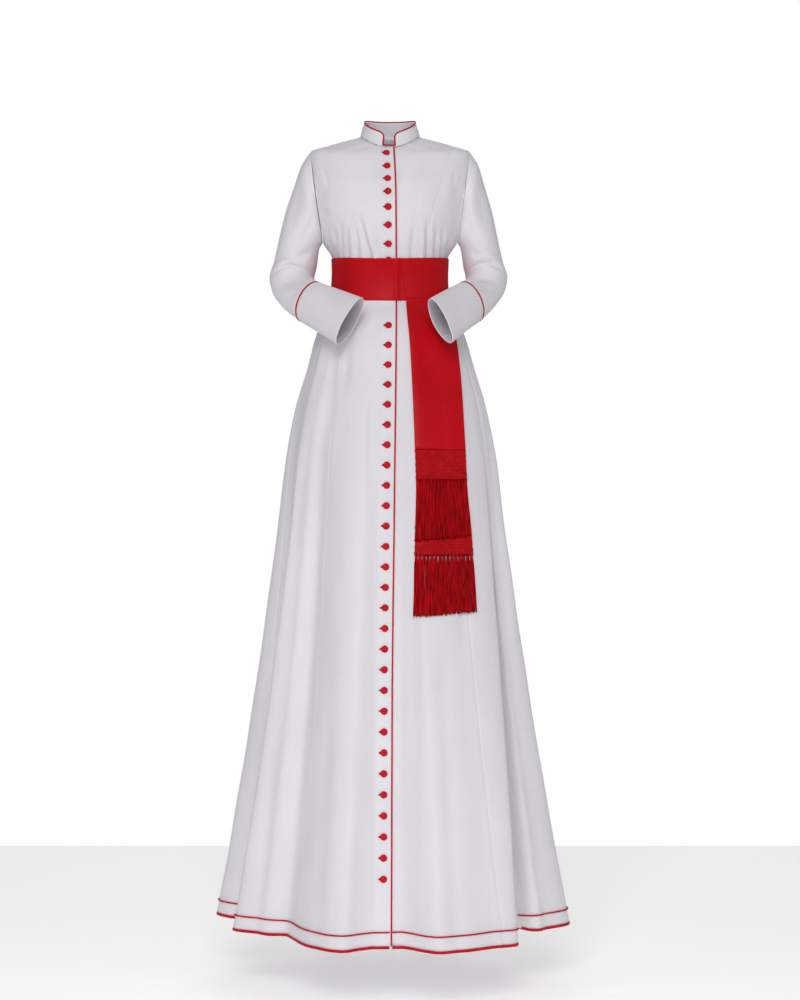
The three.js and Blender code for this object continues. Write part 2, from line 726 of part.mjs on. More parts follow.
// All columns of one ring, in the order of growing angle.
function allAngles(row) {
  return [
    ...PANEL_ANGLES.back_right(row),
    ...PANEL_ANGLES.side_front_right(row).slice(1),
    ...PANEL_ANGLES.front_right(row).slice(1),
    ...PANEL_ANGLES.front_left(row).slice(3),
    ...PANEL_ANGLES.side_front_left(row).slice(1),
    ...PANEL_ANGLES.back_left(row).slice(1),
  ];
}

const EDGE_COLUMN = COLUMN_BACK + SIDE_STEPS.length + FRONT_RIGHT_STEPS.length + 1;

// How far the band's inner face stands off the cassock at a column: it passes over the front
// piping, and its upper edge over the button that it half covers.
function bandLift(column, i) {
  const overPiping = column === EDGE_COLUMN || column === EDGE_COLUMN + 1;
  const base = SEAT + SEAM + (overPiping ? SASH.overPiping : 0);
  if (i !== INDEX.sash_top) return base;
  if (column === EDGE_COLUMN - 1) return base + SASH.overButton;
  return Math.abs(column - EDGE_COLUMN + 1) === 1 ? Math.max(base, SASH.besideButton) : base;
}

// The band is one length of satin. It starts on the wearer's left under its own end, runs across
// the front and round the back, and its end lies on top, cut along a slanting line.
function buildBand() {
  const rows = [INDEX.sash_top, INDEX.waist, INDEX.sash_foot];
  const waist = allAngles(LEVELS[INDEX.waist]);
  const start = waist.findIndex((angle) => angle > SASH.start);
  const stop = waist.findIndex((angle) => angle > SASH.lastColumn);
  const under = range(start + 1).map((k) => start - k);
  const over = range(waist.length - 1 - stop).map((k) => waist.length - 2 - k);
  const grid = (depth) => rows.map((i, n) => {
    const angles = allAngles(LEVELS[i]);
    const at = (k, lift) => onCloth(i, angles[k], bandLift(k, i) + lift + depth);
    const ramp = SASH.lapRamp - SASH.levelFrom;
    const climb = (k) => smoothstep(SASH.start + SASH.lapRamp - waist[k], 0, ramp);
    const layer = SATIN + SEAT + SEAM;
    const end = angleAcross(LEVELS[i], lerp(SASH.endTop, SASH.endFoot, n / (rows.length - 1)));
    const last = onCloth(i, end, SEAT + SEAM + layer + depth);
    return [...under.map((k) => at(k, 0)), ...over.map((k) => at(k, layer * climb(k))), last];
  });
  placeSatin("sash_band", wall(grid(SATIN), grid(0)));
}

const UNDER_BAND = 0.02;
const TAIL_TOP = INDEX.sash_foot + UNDER_BAND; // the tails start just under the band

// The level count at which the cloth is this high at an angle, no higher than the tails' top.
function levelDown(height, angle) {
  let i = INDEX.sash_foot;
  while (i < LAST - 1 && ringPoint(LEVELS[i + 1], angle).z > height) i += 1;
  const above = ringPoint(LEVELS[i], angle).z;
  const below = ringPoint(LEVELS[i + 1], angle).z;
  return Math.max(i + (height - above) / (below - above), TAIL_TOP);
}

// The point of the front that lies this far across and this high, moved out. Past the angle where
// the skirt turns away, the tails go straight on.
function onFront(across, height, out) {
  const at = (angle, away = 0) => onCloth(levelDown(height, angle), angle, away);
  const last = at(TAIL_TURN, out);
  if (across > last.x) {
    const before = at(TAIL_TURN - TAIL_TANGENT, out);
    return last.clone().lerp(before, (last.x - across) / (last.x - before.x)).setZ(last.z);
  }
  let low = 0;
  let high = TAIL_TURN;
  for (let pass = 0; pass < HALVINGS; pass += 1) {
    const middle = (low + high) / 2;
    if (at(middle, out).x < across) low = middle;
    else high = middle;
  }
  return at(low, out);
}

function tailAcross(height, share) {
  return lerp(fromTable(TAIL_EDGES, height, "left"), fromTable(TAIL_EDGES, height, "right"), share);
}

function tailWall(heights, columns, inner, outer) {
  const grid = (out) => heights.map((height) => even(columns).map((share) => {
    return onFront(tailAcross(height, share), height, out);
  }));
  return wall(grid(outer), grid(inner));
}

function heightsBetween(top, foot) {
  const heights = LEVELS.map((row) => row.front);
  const inside = heights.filter((h) => h < top - ROW_CLEAR && h > foot + ROW_CLEAR);
  return [top, ...inside, foot];
}

function solidOf(geometry) {
  const vertProperties = geometry.getAttribute("position").array;
  const triVerts = new Uint32Array(geometry.index.array);
  return new wasm.Manifold(new wasm.Mesh({ numProp: 3, vertProperties, triVerts }));
}

function geometryOf(solid) {
  const { vertProperties, triVerts } = solid.getMesh();
  const geometry = new THREE.BufferGeometry();
  geometry.setAttribute("position", new THREE.BufferAttribute(new Float32Array(vertProperties), 3));
  geometry.setIndex([...triVerts]);
  return geometry;
}

// One strand: three-sided, from inside the heading strip down to its end.
function strand(share, top, foot, out) {
  const rings = [0, 0.5, 1].map((down) => {
    const height = lerp(top, foot, down);
    const centre = onFront(tailAcross(height, share), height, out);
    const away = onFront(tailAcross(height, share), height, out + 1).sub(centre);
    const aside = vec(0, 0, 1).cross(away).normalize();
    return range(3).map((k) => {
      const turn = (2 * Math.PI * k) / 3;
      const point = centre.clone().addScaledVector(away, STRAND * Math.cos(turn));
      return point.addScaledVector(aside, STRAND * Math.sin(turn));
    });
  });
  return cord(rings);
}

function buildTail(name) {
  const { out, satinFoot, knotFoot, fringeFoot, slope } = TAILS[name];
  const top = LEVELS[INDEX.sash_foot].side;
  const satin = heightsBetween(top, satinFoot);
  placeSatin(`sash_tail_${name}`, tailWall(satin, TAIL_COLUMNS, out, out + SATIN));

  const knots = spread(satinFoot - PIECE_GAP, knotFoot, even(2));
  const knotted = tailWall(knots, TAIL_COLUMNS, out, out + KNOTS_THICK);
  placeTrim(`knotted_band_${name}`, knotted);

  const stripTop = knotFoot - PIECE_GAP;
  const stripFoot = stripTop - HEADING.height;
  const heading = tailWall([stripTop, stripFoot], HEADING.columns, out, out + HEADING.thick);
  const strands = range(STRANDS).map((k) => {
    const share = (k + 0.5) / STRANDS;
    const foot = fringeFoot + slope * share;
    const root = lerp(stripTop, stripFoot, ROOT_SHARE);
    return strand(share, root, foot, out + HEADING.thick / 2);
  });
  const joined = strands.reduce((sum, each) => sum.add(solidOf(each)), solidOf(heading));
  placeTrim(`fringe_${name}`, geometryOf(joined));
}

// ---- build ---------------------------------------------------------------------------------

buildPanels();
buildSleeve("right");
buildSleeve("left");
buildCollar();
buildFrontPiping();
buildHem();
buildButtons();
buildBand();
buildTail("back");
buildTail("front");

export default cassock;
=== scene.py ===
"""Looks of the cassock with sash: cloth shells, piping, covered buttons, satin sash, fringes.

Sizes are in millimetres in the tables and turned into metres when a mesh is made. +Z is up, the
wearer faces -Y, and the wearer's left is +X. "down" is the distance below the origin at the side
seams, and angles are in degrees from the middle of the front, positive to the wearer's left.
"""

import math

import bpy
import numpy as np
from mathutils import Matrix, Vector


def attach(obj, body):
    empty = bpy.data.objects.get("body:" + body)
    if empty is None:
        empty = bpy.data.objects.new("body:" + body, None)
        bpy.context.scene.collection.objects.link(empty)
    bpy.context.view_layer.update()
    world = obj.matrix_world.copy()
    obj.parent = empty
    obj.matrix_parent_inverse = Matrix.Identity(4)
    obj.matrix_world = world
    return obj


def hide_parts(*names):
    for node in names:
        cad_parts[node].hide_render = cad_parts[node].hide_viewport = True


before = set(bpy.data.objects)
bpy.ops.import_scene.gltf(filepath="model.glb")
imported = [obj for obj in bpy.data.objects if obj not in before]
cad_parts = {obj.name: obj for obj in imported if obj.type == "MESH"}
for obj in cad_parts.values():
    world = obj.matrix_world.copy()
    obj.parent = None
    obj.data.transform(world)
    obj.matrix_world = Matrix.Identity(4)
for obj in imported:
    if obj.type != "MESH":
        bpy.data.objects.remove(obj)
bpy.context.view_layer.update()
MM = 0.001


# ---- sizes shared with the solids -----------------------------------------------------------

CLOTH = 1.6
SATIN = 1.3
COLLAR_BAND = 2.0
SEAT = 0.35
PIPING = 1.4
UNDERLAP = 26.0
BUTTON_INSET = 13.0
LAP_DROP = CLOTH + 0.45
LAP_BLEND = 28.0
SEAM_SHARE = 0.6018
HEM_FOOT = 1469.0
HEM_LINE = 1445.0
BINDING = dict(height=5.2, proud=1.1, gap=0.4)

BODICE_BUTTONS = [26, 52, 77, 102, 131, 164, 198, 227.5]
SKIRT_BUTTONS = [351 + 37.1 * k for k in range(28)]

# side, front, back: heights; half width; depth before and behind the side seams; roundness;
# princess seam and armhole, across
BODY = np.array([
    [14, -12.5, 20, 57, 60, 50, 2.0, 57, 57],
    [5, -17, 10, 90, 66, 58, 2.05, 90, 90],
    [-4, -21, 0, 122, 70, 63, 2.15, 122, 122],
    [-15, -28, -16, 152, 76, 70, 2.3, 116, 152],
    [-36, -42, -38, 155, 84, 78, 2.4, 110, 148.5],
    [-58, -62, -60, 154, 94, 84, 2.4, 103.5, 145.5],
    [-80, -82, -80, 152, 104, 90, 2.4, 97, 142.5],
    [-104, -104, -104, 147, 110, 92, 2.35, 90, 139],
    [-128, -128, -128, 141.5, 114, 92, 2.3, 83, 135.5],
    [-150, -150, -150, 136.5, 112, 90, 2.2, 77, 132],
    [-170, -171, -170, 131.5, 108, 87.5, 2.1, 72, 129],
    [-186, -188, -186, 127, 103, 85, 2.0, 69, 127],
    [-217, -224, -217, 110, 90, 78, 2.0, 63, 110],
    [-257, -263, -257, 109, 86, 74, 2.0, 62, 109],
    [-297, -303, -297, 112, 88, 76, 2.0, 63, 112],
])
SKIRT = [(-328, 126), (-361, 140), (-424, 157), (-500, 179), (-590, 195), (-720, 209),
         (-1040, 249), (-1350, 296), (-1445, 312), (-1469, 316)]
ARMPIT, SASH_TOP, SASH_FOOT = 186.0, 217.0, 297.0
COLLAR_SEAM = -14  # down, in the middle of the back
SEAM_START = 4.0

# angle under the sash, angle at the hem, how far the fold stands out at the hem
FOLDS = np.array([
    [-180, -180, -15], [-163, -163, 18], [-146, -146, -32], [-126, -126, 22], [-114, -114, -14],
    [-101, -103, 26], [-79, -86, -56], [-68, -77, -54], [-59, -71, -8], [-50, -60, -34],
    [-43, -49, -60], [-14, -15, 16], [-5, -5, -30], [5, 4, -34], [16, 16, 30], [34, 33, 20],
    [66, 41, 28], [74, 57, -92], [80, 70, -14], [86, 84, 24], [112, 112, -30], [128, 128, 20],
    [146, 146, -35], [163, 163, 15], [180, 180, -15],
], float)
FOLD_START = 300.0

# the right front's edge: height, distance from the middle
FRONT_EDGE = np.array([[-12, 6], [-85, 9.4], [-118, 10], [-303, 10.7], [-685, 7.2],
                       [-1023, 3.5], [-1475, 2.2]])


# ---- the body's surface ---------------------------------------------------------------------


SKIRT_TOP = dict(half=112, fore=88, aft=76)
HEM_RADIUS = 316


def skirt_row(height, half):
    flare = (half - SKIRT_TOP["half"]) / (HEM_RADIUS - SKIRT_TOP["half"])
    fore = SKIRT_TOP["fore"] + (HEM_RADIUS - SKIRT_TOP["fore"]) * flare
    aft = SKIRT_TOP["aft"] + (HEM_RADIUS - SKIRT_TOP["aft"]) * flare
    return [height, height, height, half, fore, aft, 2, half * SEAM_SHARE, half]


LEVELS = np.vstack([BODY, [skirt_row(*row) for row in SKIRT]])


def monotone(knots, values):
    """A smooth curve through the knots that never overshoots between them."""
    knots, values = np.asarray(knots, float), np.asarray(values, float)
    step, rise = np.diff(knots), np.diff(values)
    slope = rise / step
    inner = np.zeros(len(knots))
    same = slope[1:] * slope[:-1] > 0
    one, two = 2 * step[1:] + step[:-1], step[1:] + 2 * step[:-1]
    with np.errstate(divide="ignore", invalid="ignore"):
        mean = (one + two) / (one / slope[:-1] + two / slope[1:])
    inner[1:-1] = np.where(same, mean, 0)
    inner[0], inner[-1] = slope[0], slope[-1]

    def at(x):
        x = np.clip(np.asarray(x, float), knots[0], knots[-1])
        k = np.clip(np.searchsorted(knots, x, side="right") - 1, 0, len(step) - 1)
        h = step[k]
        t = (x - knots[k]) / h
        return (values[k] * (1 + 2 * t) * (1 - t) ** 2 + values[k + 1] * t * t * (3 - 2 * t)
                + h * inner[k] * t * (1 - t) ** 2 - h * inner[k + 1] * t * t * (1 - t))

    return at


COLUMN = [monotone(-LEVELS[:, 0], LEVELS[:, k]) for k in range(9)]
SIDE, FRONT, BACK, HALF, FORE, AFT, ROUND, SEAM, ARM = COLUMN
edge_at = monotone(-FRONT_EDGE[:, 0], FRONT_EDGE[:, 1])


def smooth(x, low, high):
    t = np.clip((x - low) / (high - low), 0, 1)
    return t * t * (3 - 2 * t)


def lerp(a, b, t):
    return a + (b - a) * t


def wrapped(angle):
    return np.where(angle > 180, angle - 360, angle)


def fold_push(angle, height):
    down = np.clip((-FOLD_START - height) / (HEM_FOOT - FOLD_START), 0, 1)
    push = np.zeros_like(down)
    for low, high in zip(FOLDS[:-1], FOLDS[1:]):
        first, last = lerp(low[0], low[1], down), lerp(high[0], high[1], down)
        here = (angle >= first) & (angle <= last)
        share = np.clip((angle - first) / (last - first), 0, 1)
        push = np.where(here, lerp(low[2], high[2], smooth(share, 0, 1)), push)
    return push * down


def surface(down, angle):
    """Points of the cloth's plain outer face, without its small creases."""
    down, angle = np.broadcast_arrays(np.asarray(down, float), np.asarray(angle, float))
    turn = np.radians(angle)
    sine, cosine = np.sin(turn), np.cos(turn)
    power = 2 / ROUND(down)
    ahead = cosine > 0
    x = HALF(down) * np.sign(sine) * np.abs(sine) ** power
    y = -np.where(ahead, FORE(down), AFT(down)) * np.sign(cosine) * np.abs(cosine) ** power
    z = lerp(SIDE(down), np.where(ahead, FRONT(down), BACK(down)), cosine ** 2)
    push = fold_push(angle, z)
    return np.stack([x + push * sine, y - push * cosine, z], -1)


def unit(v):
    return v / np.maximum(np.linalg.norm(v, axis=-1, keepdims=True), 1e-9)


def outward(down, angle):
    along = surface(down, angle + 0.5) - surface(down, angle - 0.5)
    up = surface(down - 1.5, angle) - surface(down + 1.5, angle)
    return unit(np.cross(along, up))


def angle_across(down, across):
    """The angle on the front at which the cloth lies this far across from the middle."""
    down, across = np.broadcast_arrays(np.asarray(down, float), np.asarray(across, float))
    share = np.clip(np.abs(across) / HALF(down), 0, 1)
    angle = np.sign(across) * np.degrees(np.arcsin(share ** (ROUND(down) / 2)))
    for _ in range(5):
        slope = surface(down, angle + 0.5)[..., 0] - surface(down, angle - 0.5)[..., 0]
        step = (across - surface(down, angle)[..., 0]) / np.maximum(slope, 0.05)
        angle = angle + np.clip(step, -5, 5) * (np.abs(angle) < 88)
    return angle


def down_at(height, angle):
    """The distance down at which the cloth is this high at an angle."""
    low = np.full(np.broadcast(height, angle).shape, -14.0)
    high = np.full(low.shape, HEM_FOOT)
    for _ in range(26):
        middle = (low + high) / 2
        above = surface(middle, angle)[..., 2] > height
        low, high = np.where(above, middle, low), np.where(above, high, middle)
    return (low + high) / 2


def seam_angle(down):
    share = np.clip(SEAM(down) / HALF(down), 0, 1)
    return np.degrees(np.arcsin(share ** (ROUND(down) / 2)))


def arm_angle(down):
    share = np.clip(ARM(down) / HALF(down), 0, 1)
    return np.where(down > ARMPIT, 90, np.degrees(np.arcsin(share ** (ROUND(down) / 2))))


def edge_across(down):
    return edge_at(-FRONT(down))


# ---- small creases laid on the cloth --------------------------------------------------------
# Each crease is a line of (across, height) points, its half width and its depth; a ridge has a
# negative depth. It fades towards both of its ends, or only towards the first one if it is held.

BODICE_CREASES = [
    # gathers over the sash on the wearer's right
    ([(-116, -172), (-112, -196), (-106, -222)], 4.0, 2.9, True),
    ([(-104, -160), (-103, -190), (-100, -222)], 4.5, 3.8, True),
    ([(-91, -150), (-92, -185), (-90, -224)], 4.0, 3.5, True),
    ([(-79, -158), (-80, -190), (-79, -226)], 4.5, 4.2, True),
    ([(-66, -150), (-63, -185), (-60, -226)], 5.0, 3.5, True),
    ([(-62, -136), (-50, -175), (-36, -228)], 5.5, 4.8, True),
    ([(-50, -146), (-40, -185), (-25, -228)], 4.5, -2.6, True),
    ([(-32, -176), (-26, -200), (-22, -228)], 4.0, 2.4, True),
    # gathers over the sash on the wearer's left
    ([(46, -150), (44, -185), (40, -226)], 5.0, 2.6, True),
    ([(60, -152), (62, -185), (60, -226)], 4.5, -1.9, True),
    ([(70, -146), (72, -185), (71, -226)], 4.5, 4.2, True),
    ([(86, -152), (88, -185), (86, -224)], 4.5, 3.8, True),
    ([(100, -160), (100, -190), (98, -222)], 4.0, 3.5, True),
    ([(112, -176), (110, -198), (106, -222)], 4.0, 2.6, True),
    # drag lines from the armholes
    ([(-150, -92), (-134, -98), (-108, -100)], 9.0, 3.2, False),
    ([(-134, -132), (-124, -136), (-112, -132)], 5.0, 2.9, False),
    ([(-128, -46), (-121, -70), (-112, -98)], 5.0, 2.1, False),
    ([(140, -86), (128, -100), (112, -106)], 9.0, 2.6, False),
    ([(130, -130), (122, -136), (112, -134)], 5.0, 2.2, False),
    ([(124, -50), (120, -76), (114, -96)], 5.0, 1.8, False),
]
BACK_CREASES = [
    ([(-96, -158), (-94, -190), (-88, -220)], 6.0, 3.1, True),
    ([(-70, -146), (-66, -185), (-60, -220)], 6.5, 3.6, True),
    ([(-38, -160), (-36, -190), (-33, -220)], 6.0, 2.6, True),
    ([(30, -152), (30, -190), (28, -220)], 6.0, 2.9, True),
    ([(62, -148), (60, -186), (55, -220)], 6.5, 3.6, True),
    ([(90, -160), (88, -190), (84, -220)], 6.0, 2.9, True),
    ([(-136, -96), (-116, -112), (-84, -116)], 10.0, 3.1, False),
    ([(136, -90), (114, -108), (82, -114)], 10.0, 2.9, False),
    ([(-60, -30), (-20, -40), (30, -36)], 12.0, 1.8, False),
]
# The hollow behind the edge of the fold on the wearer's left.
STEP_CREASE = ([(142, -430), (168, -638), (183, -784), (196, -947), (208, -1128), (215, -1217),
                (221, -1308), (230, -1398), (236, -1469)], 20, 38.0, True)
STEP_RIDGE = (66, 41)

SKIRT_CREASES = [
    ([(-116, -400), (-132, -638), (-141, -784), (-151, -947), (-174, -1219), (-190, -1401),
      (-196, -1469)], 13, 8.0, True),
    ([(-30, -372), (-34, -520), (-38, -700)], 9, 2.7, False),
    ([(-70, -312), (-80, -400), (-88, -520)], 10, 3.9, False),
    ([(-86, -312), (-104, -420), (-118, -600)], 9, 3.3, False),
    ([(-44, -1190), (-52, -1330), (-56, -1469)], 13, 3.3, True),
    ([(-104, -900), (-118, -1180), (-130, -1469)], 14, 3.6, True),
    ([(36, -760), (46, -980), (50, -1200)], 11, 3, False),
    ([(92, -860), (104, -1100), (120, -1469)], 14, 3.3, True),
    ([(20, -318), (26, -380), (28, -470)], 7, 2.4, False),
    ([(124, -620), (132, -800), (140, -1010)], 10, 3, False),
    ([(-150, -480), (-172, -700), (-196, -960)], 10, 3, False),
    ([(-206, -1000), (-226, -1240), (-242, -1469)], 12, 3.6, True),
]


def crease_depth(points, creases):
    """How far each point sinks along the cloth's normal, for creases seen from front or back."""
    flat = points[..., [0, 2]]
    depth = np.zeros(points.shape[:-1])
    for line, width, size, held in creases:
        line = np.array(line, float)
        legs = np.linalg.norm(np.diff(line, axis=0), axis=1)
        run = np.concatenate([[0], np.cumsum(legs)])
        near = np.full(depth.shape, 1e9)
        at = np.zeros(depth.shape)
        for k, leg in enumerate(legs):
            along = (line[k + 1] - line[k]) / leg
            t = np.clip((flat - line[k]) @ along, 0, leg)
            off = np.linalg.norm(flat - line[k] - t[..., None] * along, axis=-1)
            closer = off < near
            near, at = np.where(closer, off, near), np.where(closer, run[k] + t, at)
        share = at / run[-1]
        fade = smooth(share, 0, 0.45) * (1 if held else 1 - smooth(share, 0.6, 1))
        depth += size * fade * np.exp(-(near / width) ** 2)
    return depth


def body_creases(down, angle, points):
    ahead = np.abs(angle) < 90
    bodice = (down < SASH_TOP + 24)
    front = crease_depth(points, BODICE_CREASES) * (ahead & bodice)
    back = crease_depth(points, BACK_CREASES) * (~ahead & bodice)
    skirt = crease_depth(points, SKIRT_CREASES) * (ahead & (down > SASH_FOOT - 6))
    share = np.clip((-FOLD_START - points[..., 2]) / (HEM_FOOT - FOLD_START), 0, 1)
    past = angle - lerp(STEP_RIDGE[0], STEP_RIDGE[1], share)
    skirt = skirt + crease_depth(points, [STEP_CREASE]) * ahead * smooth(past, 2, 7)
    small = 0.5 * np.sin(np.radians(angle * 17 + 40)) * np.sin(down / 31 + angle / 23)
    quiet = 1 - smooth(down, SASH_TOP - 20, SASH_TOP) + smooth(down, SASH_FOOT, SASH_FOOT + 40)
    return front + back + skirt + small * np.clip(quiet, 0, 1)


def cloth(down, angle, out=0.0):
    """Points of the cloth's outer face with its creases, moved out by a distance."""
    down, angle = np.broadcast_arrays(np.asarray(down, float), np.asarray(angle, float))
    points = surface(down, angle)
    lift = np.asarray(out) - body_creases(down, angle, points)
    return points + outward(down, angle) * lift[..., None]


# ---- meshes ---------------------------------------------------------------------------------


def mesh_object(name, points, faces, material):
    mesh = bpy.data.meshes.new(name)
    mesh.from_pydata((np.asarray(points) * MM).tolist(), [], [list(map(int, f)) for f in faces])
    mesh.validate()
    mesh.update()
    mesh.polygons.foreach_set("use_smooth", np.ones(len(mesh.polygons), bool))
    mesh.materials.append(material)
    obj = bpy.data.objects.new(name, mesh)
    bpy.context.scene.collection.objects.link(obj)
    return obj


def grid_faces(rows, columns, start=0, closed=False):
    steps = columns if closed else columns - 1
    r, c = np.meshgrid(np.arange(rows - 1), np.arange(steps), indexing="ij")
    nxt = (c + 1) % columns
    a, b = r * columns + c, r * columns + nxt
    d, e = (r + 1) * columns + c, (r + 1) * columns + nxt
    return np.stack([a, d, e, b], -1).reshape(-1, 4) + start


def wall(outer, inner, closed=False):
    """Points and faces of a wall between two grids, closed along its edges."""
    rows, columns = outer.shape[:2]
    size = rows * columns
    points = np.concatenate([outer.reshape(-1, 3), inner.reshape(-1, 3)])
    faces = [grid_faces(rows, columns, 0, closed), grid_faces(rows, columns, size, closed)[:, ::-1]]
    steps = columns if closed else columns - 1
    c = np.arange(steps)
    nxt = (c + 1) % columns
    last = (rows - 1) * columns
    faces.append(np.stack([c, nxt, size + nxt, size + c], -1))
    faces.append(np.stack([last + c, size + last + c, size + last + nxt, last + nxt], -1))
    if not closed:
        r = np.arange(rows - 1) * columns
        faces.append(np.stack([r, size + r, size + r + columns, r + columns], -1))
        e = r + columns - 1
        faces.append(np.stack([e, e + columns, size + e + columns, size + e], -1))
    return points, np.concatenate(faces)


def tube(path, radius, sides=10, closed=False, up=(0, 0, 1)):
    """A round cord along a path of points."""
    path = np.asarray(path, float)
    radius = np.broadcast_to(np.asarray(radius, float), (len(path),))
    if closed:
        along = unit(np.roll(path, -1, 0) - np.roll(path, 1, 0))
    else:
        along = unit(np.gradient(path, axis=0))
    side = unit(np.cross(along, np.broadcast_to(np.asarray(up, float), along.shape)))
    over = np.cross(side, along)
    turn = np.linspace(0, 2 * np.pi, sides, endpoint=False)
    ring = (np.cos(turn)[None, :, None] * side[:, None]
            + np.sin(turn)[None, :, None] * over[:, None])
    points = path[:, None] + ring * radius[:, None, None]
    if closed:
        points = np.concatenate([points, points[:1]])
        faces = grid_faces(len(path) + 1, sides, 0, True)
        faces = np.where(faces >= len(path) * sides, faces - len(path) * sides, faces)
        return points[:-1].reshape(-1, 3), faces
    faces = [tuple(f) for f in grid_faces(len(path), sides, 0, True)]
    start = len(path) * sides
    faces += [(start, (k + 1) % sides, k) for k in range(sides)]
    last = (len(path) - 1) * sides
    faces += [(start + 1, last + k, last + (k + 1) % sides) for k in range(sides)]
    tips = np.stack([path[0] - along[0] * radius[0] * 0.4, path[-1] + along[-1] * radius[-1] * 0.4])
    return np.concatenate([points.reshape(-1, 3), tips]), faces


def joined(parts):
    points, faces, start = [], [], 0
    for some, these in parts:
        points.append(some)
        faces += [tuple(int(i) + start for i in f) for f in these]
        start += len(some)
    return np.concatenate(points), faces


def resample(path, step):
    path = np.asarray(path, float)
    run = np.concatenate([[0], np.cumsum(np.linalg.norm(np.diff(path, axis=0), axis=1))])
    count = max(2, int(round(run[-1] / step)) + 1)
    at = np.linspace(0, run[-1], count)
    return np.stack([np.interp(at, run, path[:, k]) for k in range(path.shape[1])], -1)


def through(rows, between):
    """Rows of points run smoothly through the given ones, with this many steps in each gap."""
    rows = np.asarray(rows, float)
    gap = np.linalg.norm(np.diff(rows, axis=0), axis=2).mean(1)
    knots = np.concatenate([[0], np.cumsum(gap)])
    slope = np.diff(rows, axis=0) / gap[:, None, None]
    tangent = np.empty_like(rows)
    tangent[0], tangent[-1] = slope[0], slope[-1]
    w = gap[1:] / (gap[1:] + gap[:-1])
    tangent[1:-1] = slope[:-1] * w[:, None, None] + slope[1:] * (1 - w)[:, None, None]
    out, where = [], []
    for k, h in enumerate(gap):
        steps = between[k] if hasattr(between, "__len__") else between
        for t in np.linspace(0, 1, steps, endpoint=False):
            out.append(rows[k] * (1 + 2 * t) * (1 - t) ** 2 + rows[k + 1] * t * t * (3 - 2 * t)
                       + h * tangent[k] * t * (1 - t) ** 2 - h * tangent[k + 1] * t * t * (1 - t))
            where.append(knots[k] + h * t)
    out.append(rows[-1])
    where.append(knots[-1])
    return np.array(out), np.array(where)


# ---- materials ------------------------------------------------------------------------------


class Nodes:
    """Short names for building one node material."""

    def __init__(self, name):
        self.material = bpy.data.materials.new(name)
        self.material.use_nodes = True
        self.tree = self.material.node_tree
        self.shader = self.tree.nodes["Principled BSDF"]
        self.place = self.new("ShaderNodeTexCoord").outputs["Object"]

    def new(self, kind, **values):
        node = self.tree.nodes.new(kind)
        for key, value in values.items():
            setattr(node, key, value)
        return node

    def link(self, source, node, socket):
        self.tree.links.new(source, node.inputs[socket])

    def set(self, **values):
        names = dict(sheen="Sheen Weight", sheen_rough="Sheen Roughness",
                     specular="Specular IOR Level", anisotropic="Anisotropic")
        for key, value in values.items():
            self.shader.inputs[names[key]].default_value = value

    def scaled(self, scale, turn=(0, 0, 0)):
        node = self.new("ShaderNodeMapping")
        self.link(self.place, node, "Vector")
        node.inputs["Scale"].default_value = scale
        node.inputs["Rotation"].default_value = turn
        return node.outputs["Vector"]

    def noise(self, size, detail=3.0, stretch=(1, 1, 1), rough=0.5):
        node = self.new("ShaderNodeTexNoise")
        self.link(self.scaled(stretch), node, "Vector")
        node.inputs["Scale"].default_value = 1 / size
        node.inputs["Detail"].default_value = detail
        node.inputs["Roughness"].default_value = rough
        return node.outputs["Fac"]

    def threads(self, pitch, turn, wander=0.6):
        """Parallel threads of one pitch, turned to their direction."""
        node = self.new("ShaderNodeTexWave", wave_type="BANDS", bands_direction="X")
        self.link(self.scaled((1, 1, 1), turn), node, "Vector")
        node.inputs["Scale"].default_value = 2 * math.pi / (20 * pitch)
        node.inputs["Distortion"].default_value = wander
        node.inputs["Detail"].default_value = 1
        node.inputs["Detail Scale"].default_value = 0.6
        return node.outputs["Fac"]

    def math(self, kind, a, b):
        node = self.new("ShaderNodeMath", operation=kind)
        for socket, value in ((0, a), (1, b)):
            if isinstance(value, (int, float)):
                node.inputs[socket].default_value = value
            else:
                self.link(value, node, socket)
        return node.outputs[0]

    def ramp(self, source, stops):
        node = self.new("ShaderNodeValToRGB")
        self.link(source, node, "Fac")
        ramp = node.color_ramp
        while len(ramp.elements) < len(stops):
            ramp.elements.new(0.5)
        for element, (at, colour) in zip(ramp.elements, stops):
            element.position = at
            element.color = (*colour, 1) if len(colour) == 3 else colour
        return node.outputs["Color"]

    def mix(self, factor, a, b, kind="MIX"):
        node = self.new("ShaderNodeMix", data_type="RGBA", blend_type=kind)
        for socket, value in ((0, factor), (6, a), (7, b)):
            if isinstance(value, (int, float)):
                node.inputs[socket].default_value = value
            elif isinstance(value, tuple):
                node.inputs[socket].default_value = (*value, 1)
            else:
                self.tree.links.new(value, node.inputs[socket])
        return node.outputs[2]

    def bump(self, height, distance, strength=1.0, after=None):
        node = self.new("ShaderNodeBump")
        self.link(height, node, "Height")
        node.inputs["Distance"].default_value = distance
        node.inputs["Strength"].default_value = strength
        if after is not None:
            self.link(after, node, "Normal")
        return node.outputs["Normal"]

    def finish(self, colour, normal=None, rough=None):
        self.link(colour, self.shader, "Base Color")
        if normal is not None:
            self.link(normal, self.shader, "Normal")
        if rough is not None:
            self.link(rough, self.shader, "Roughness")
        return self.material


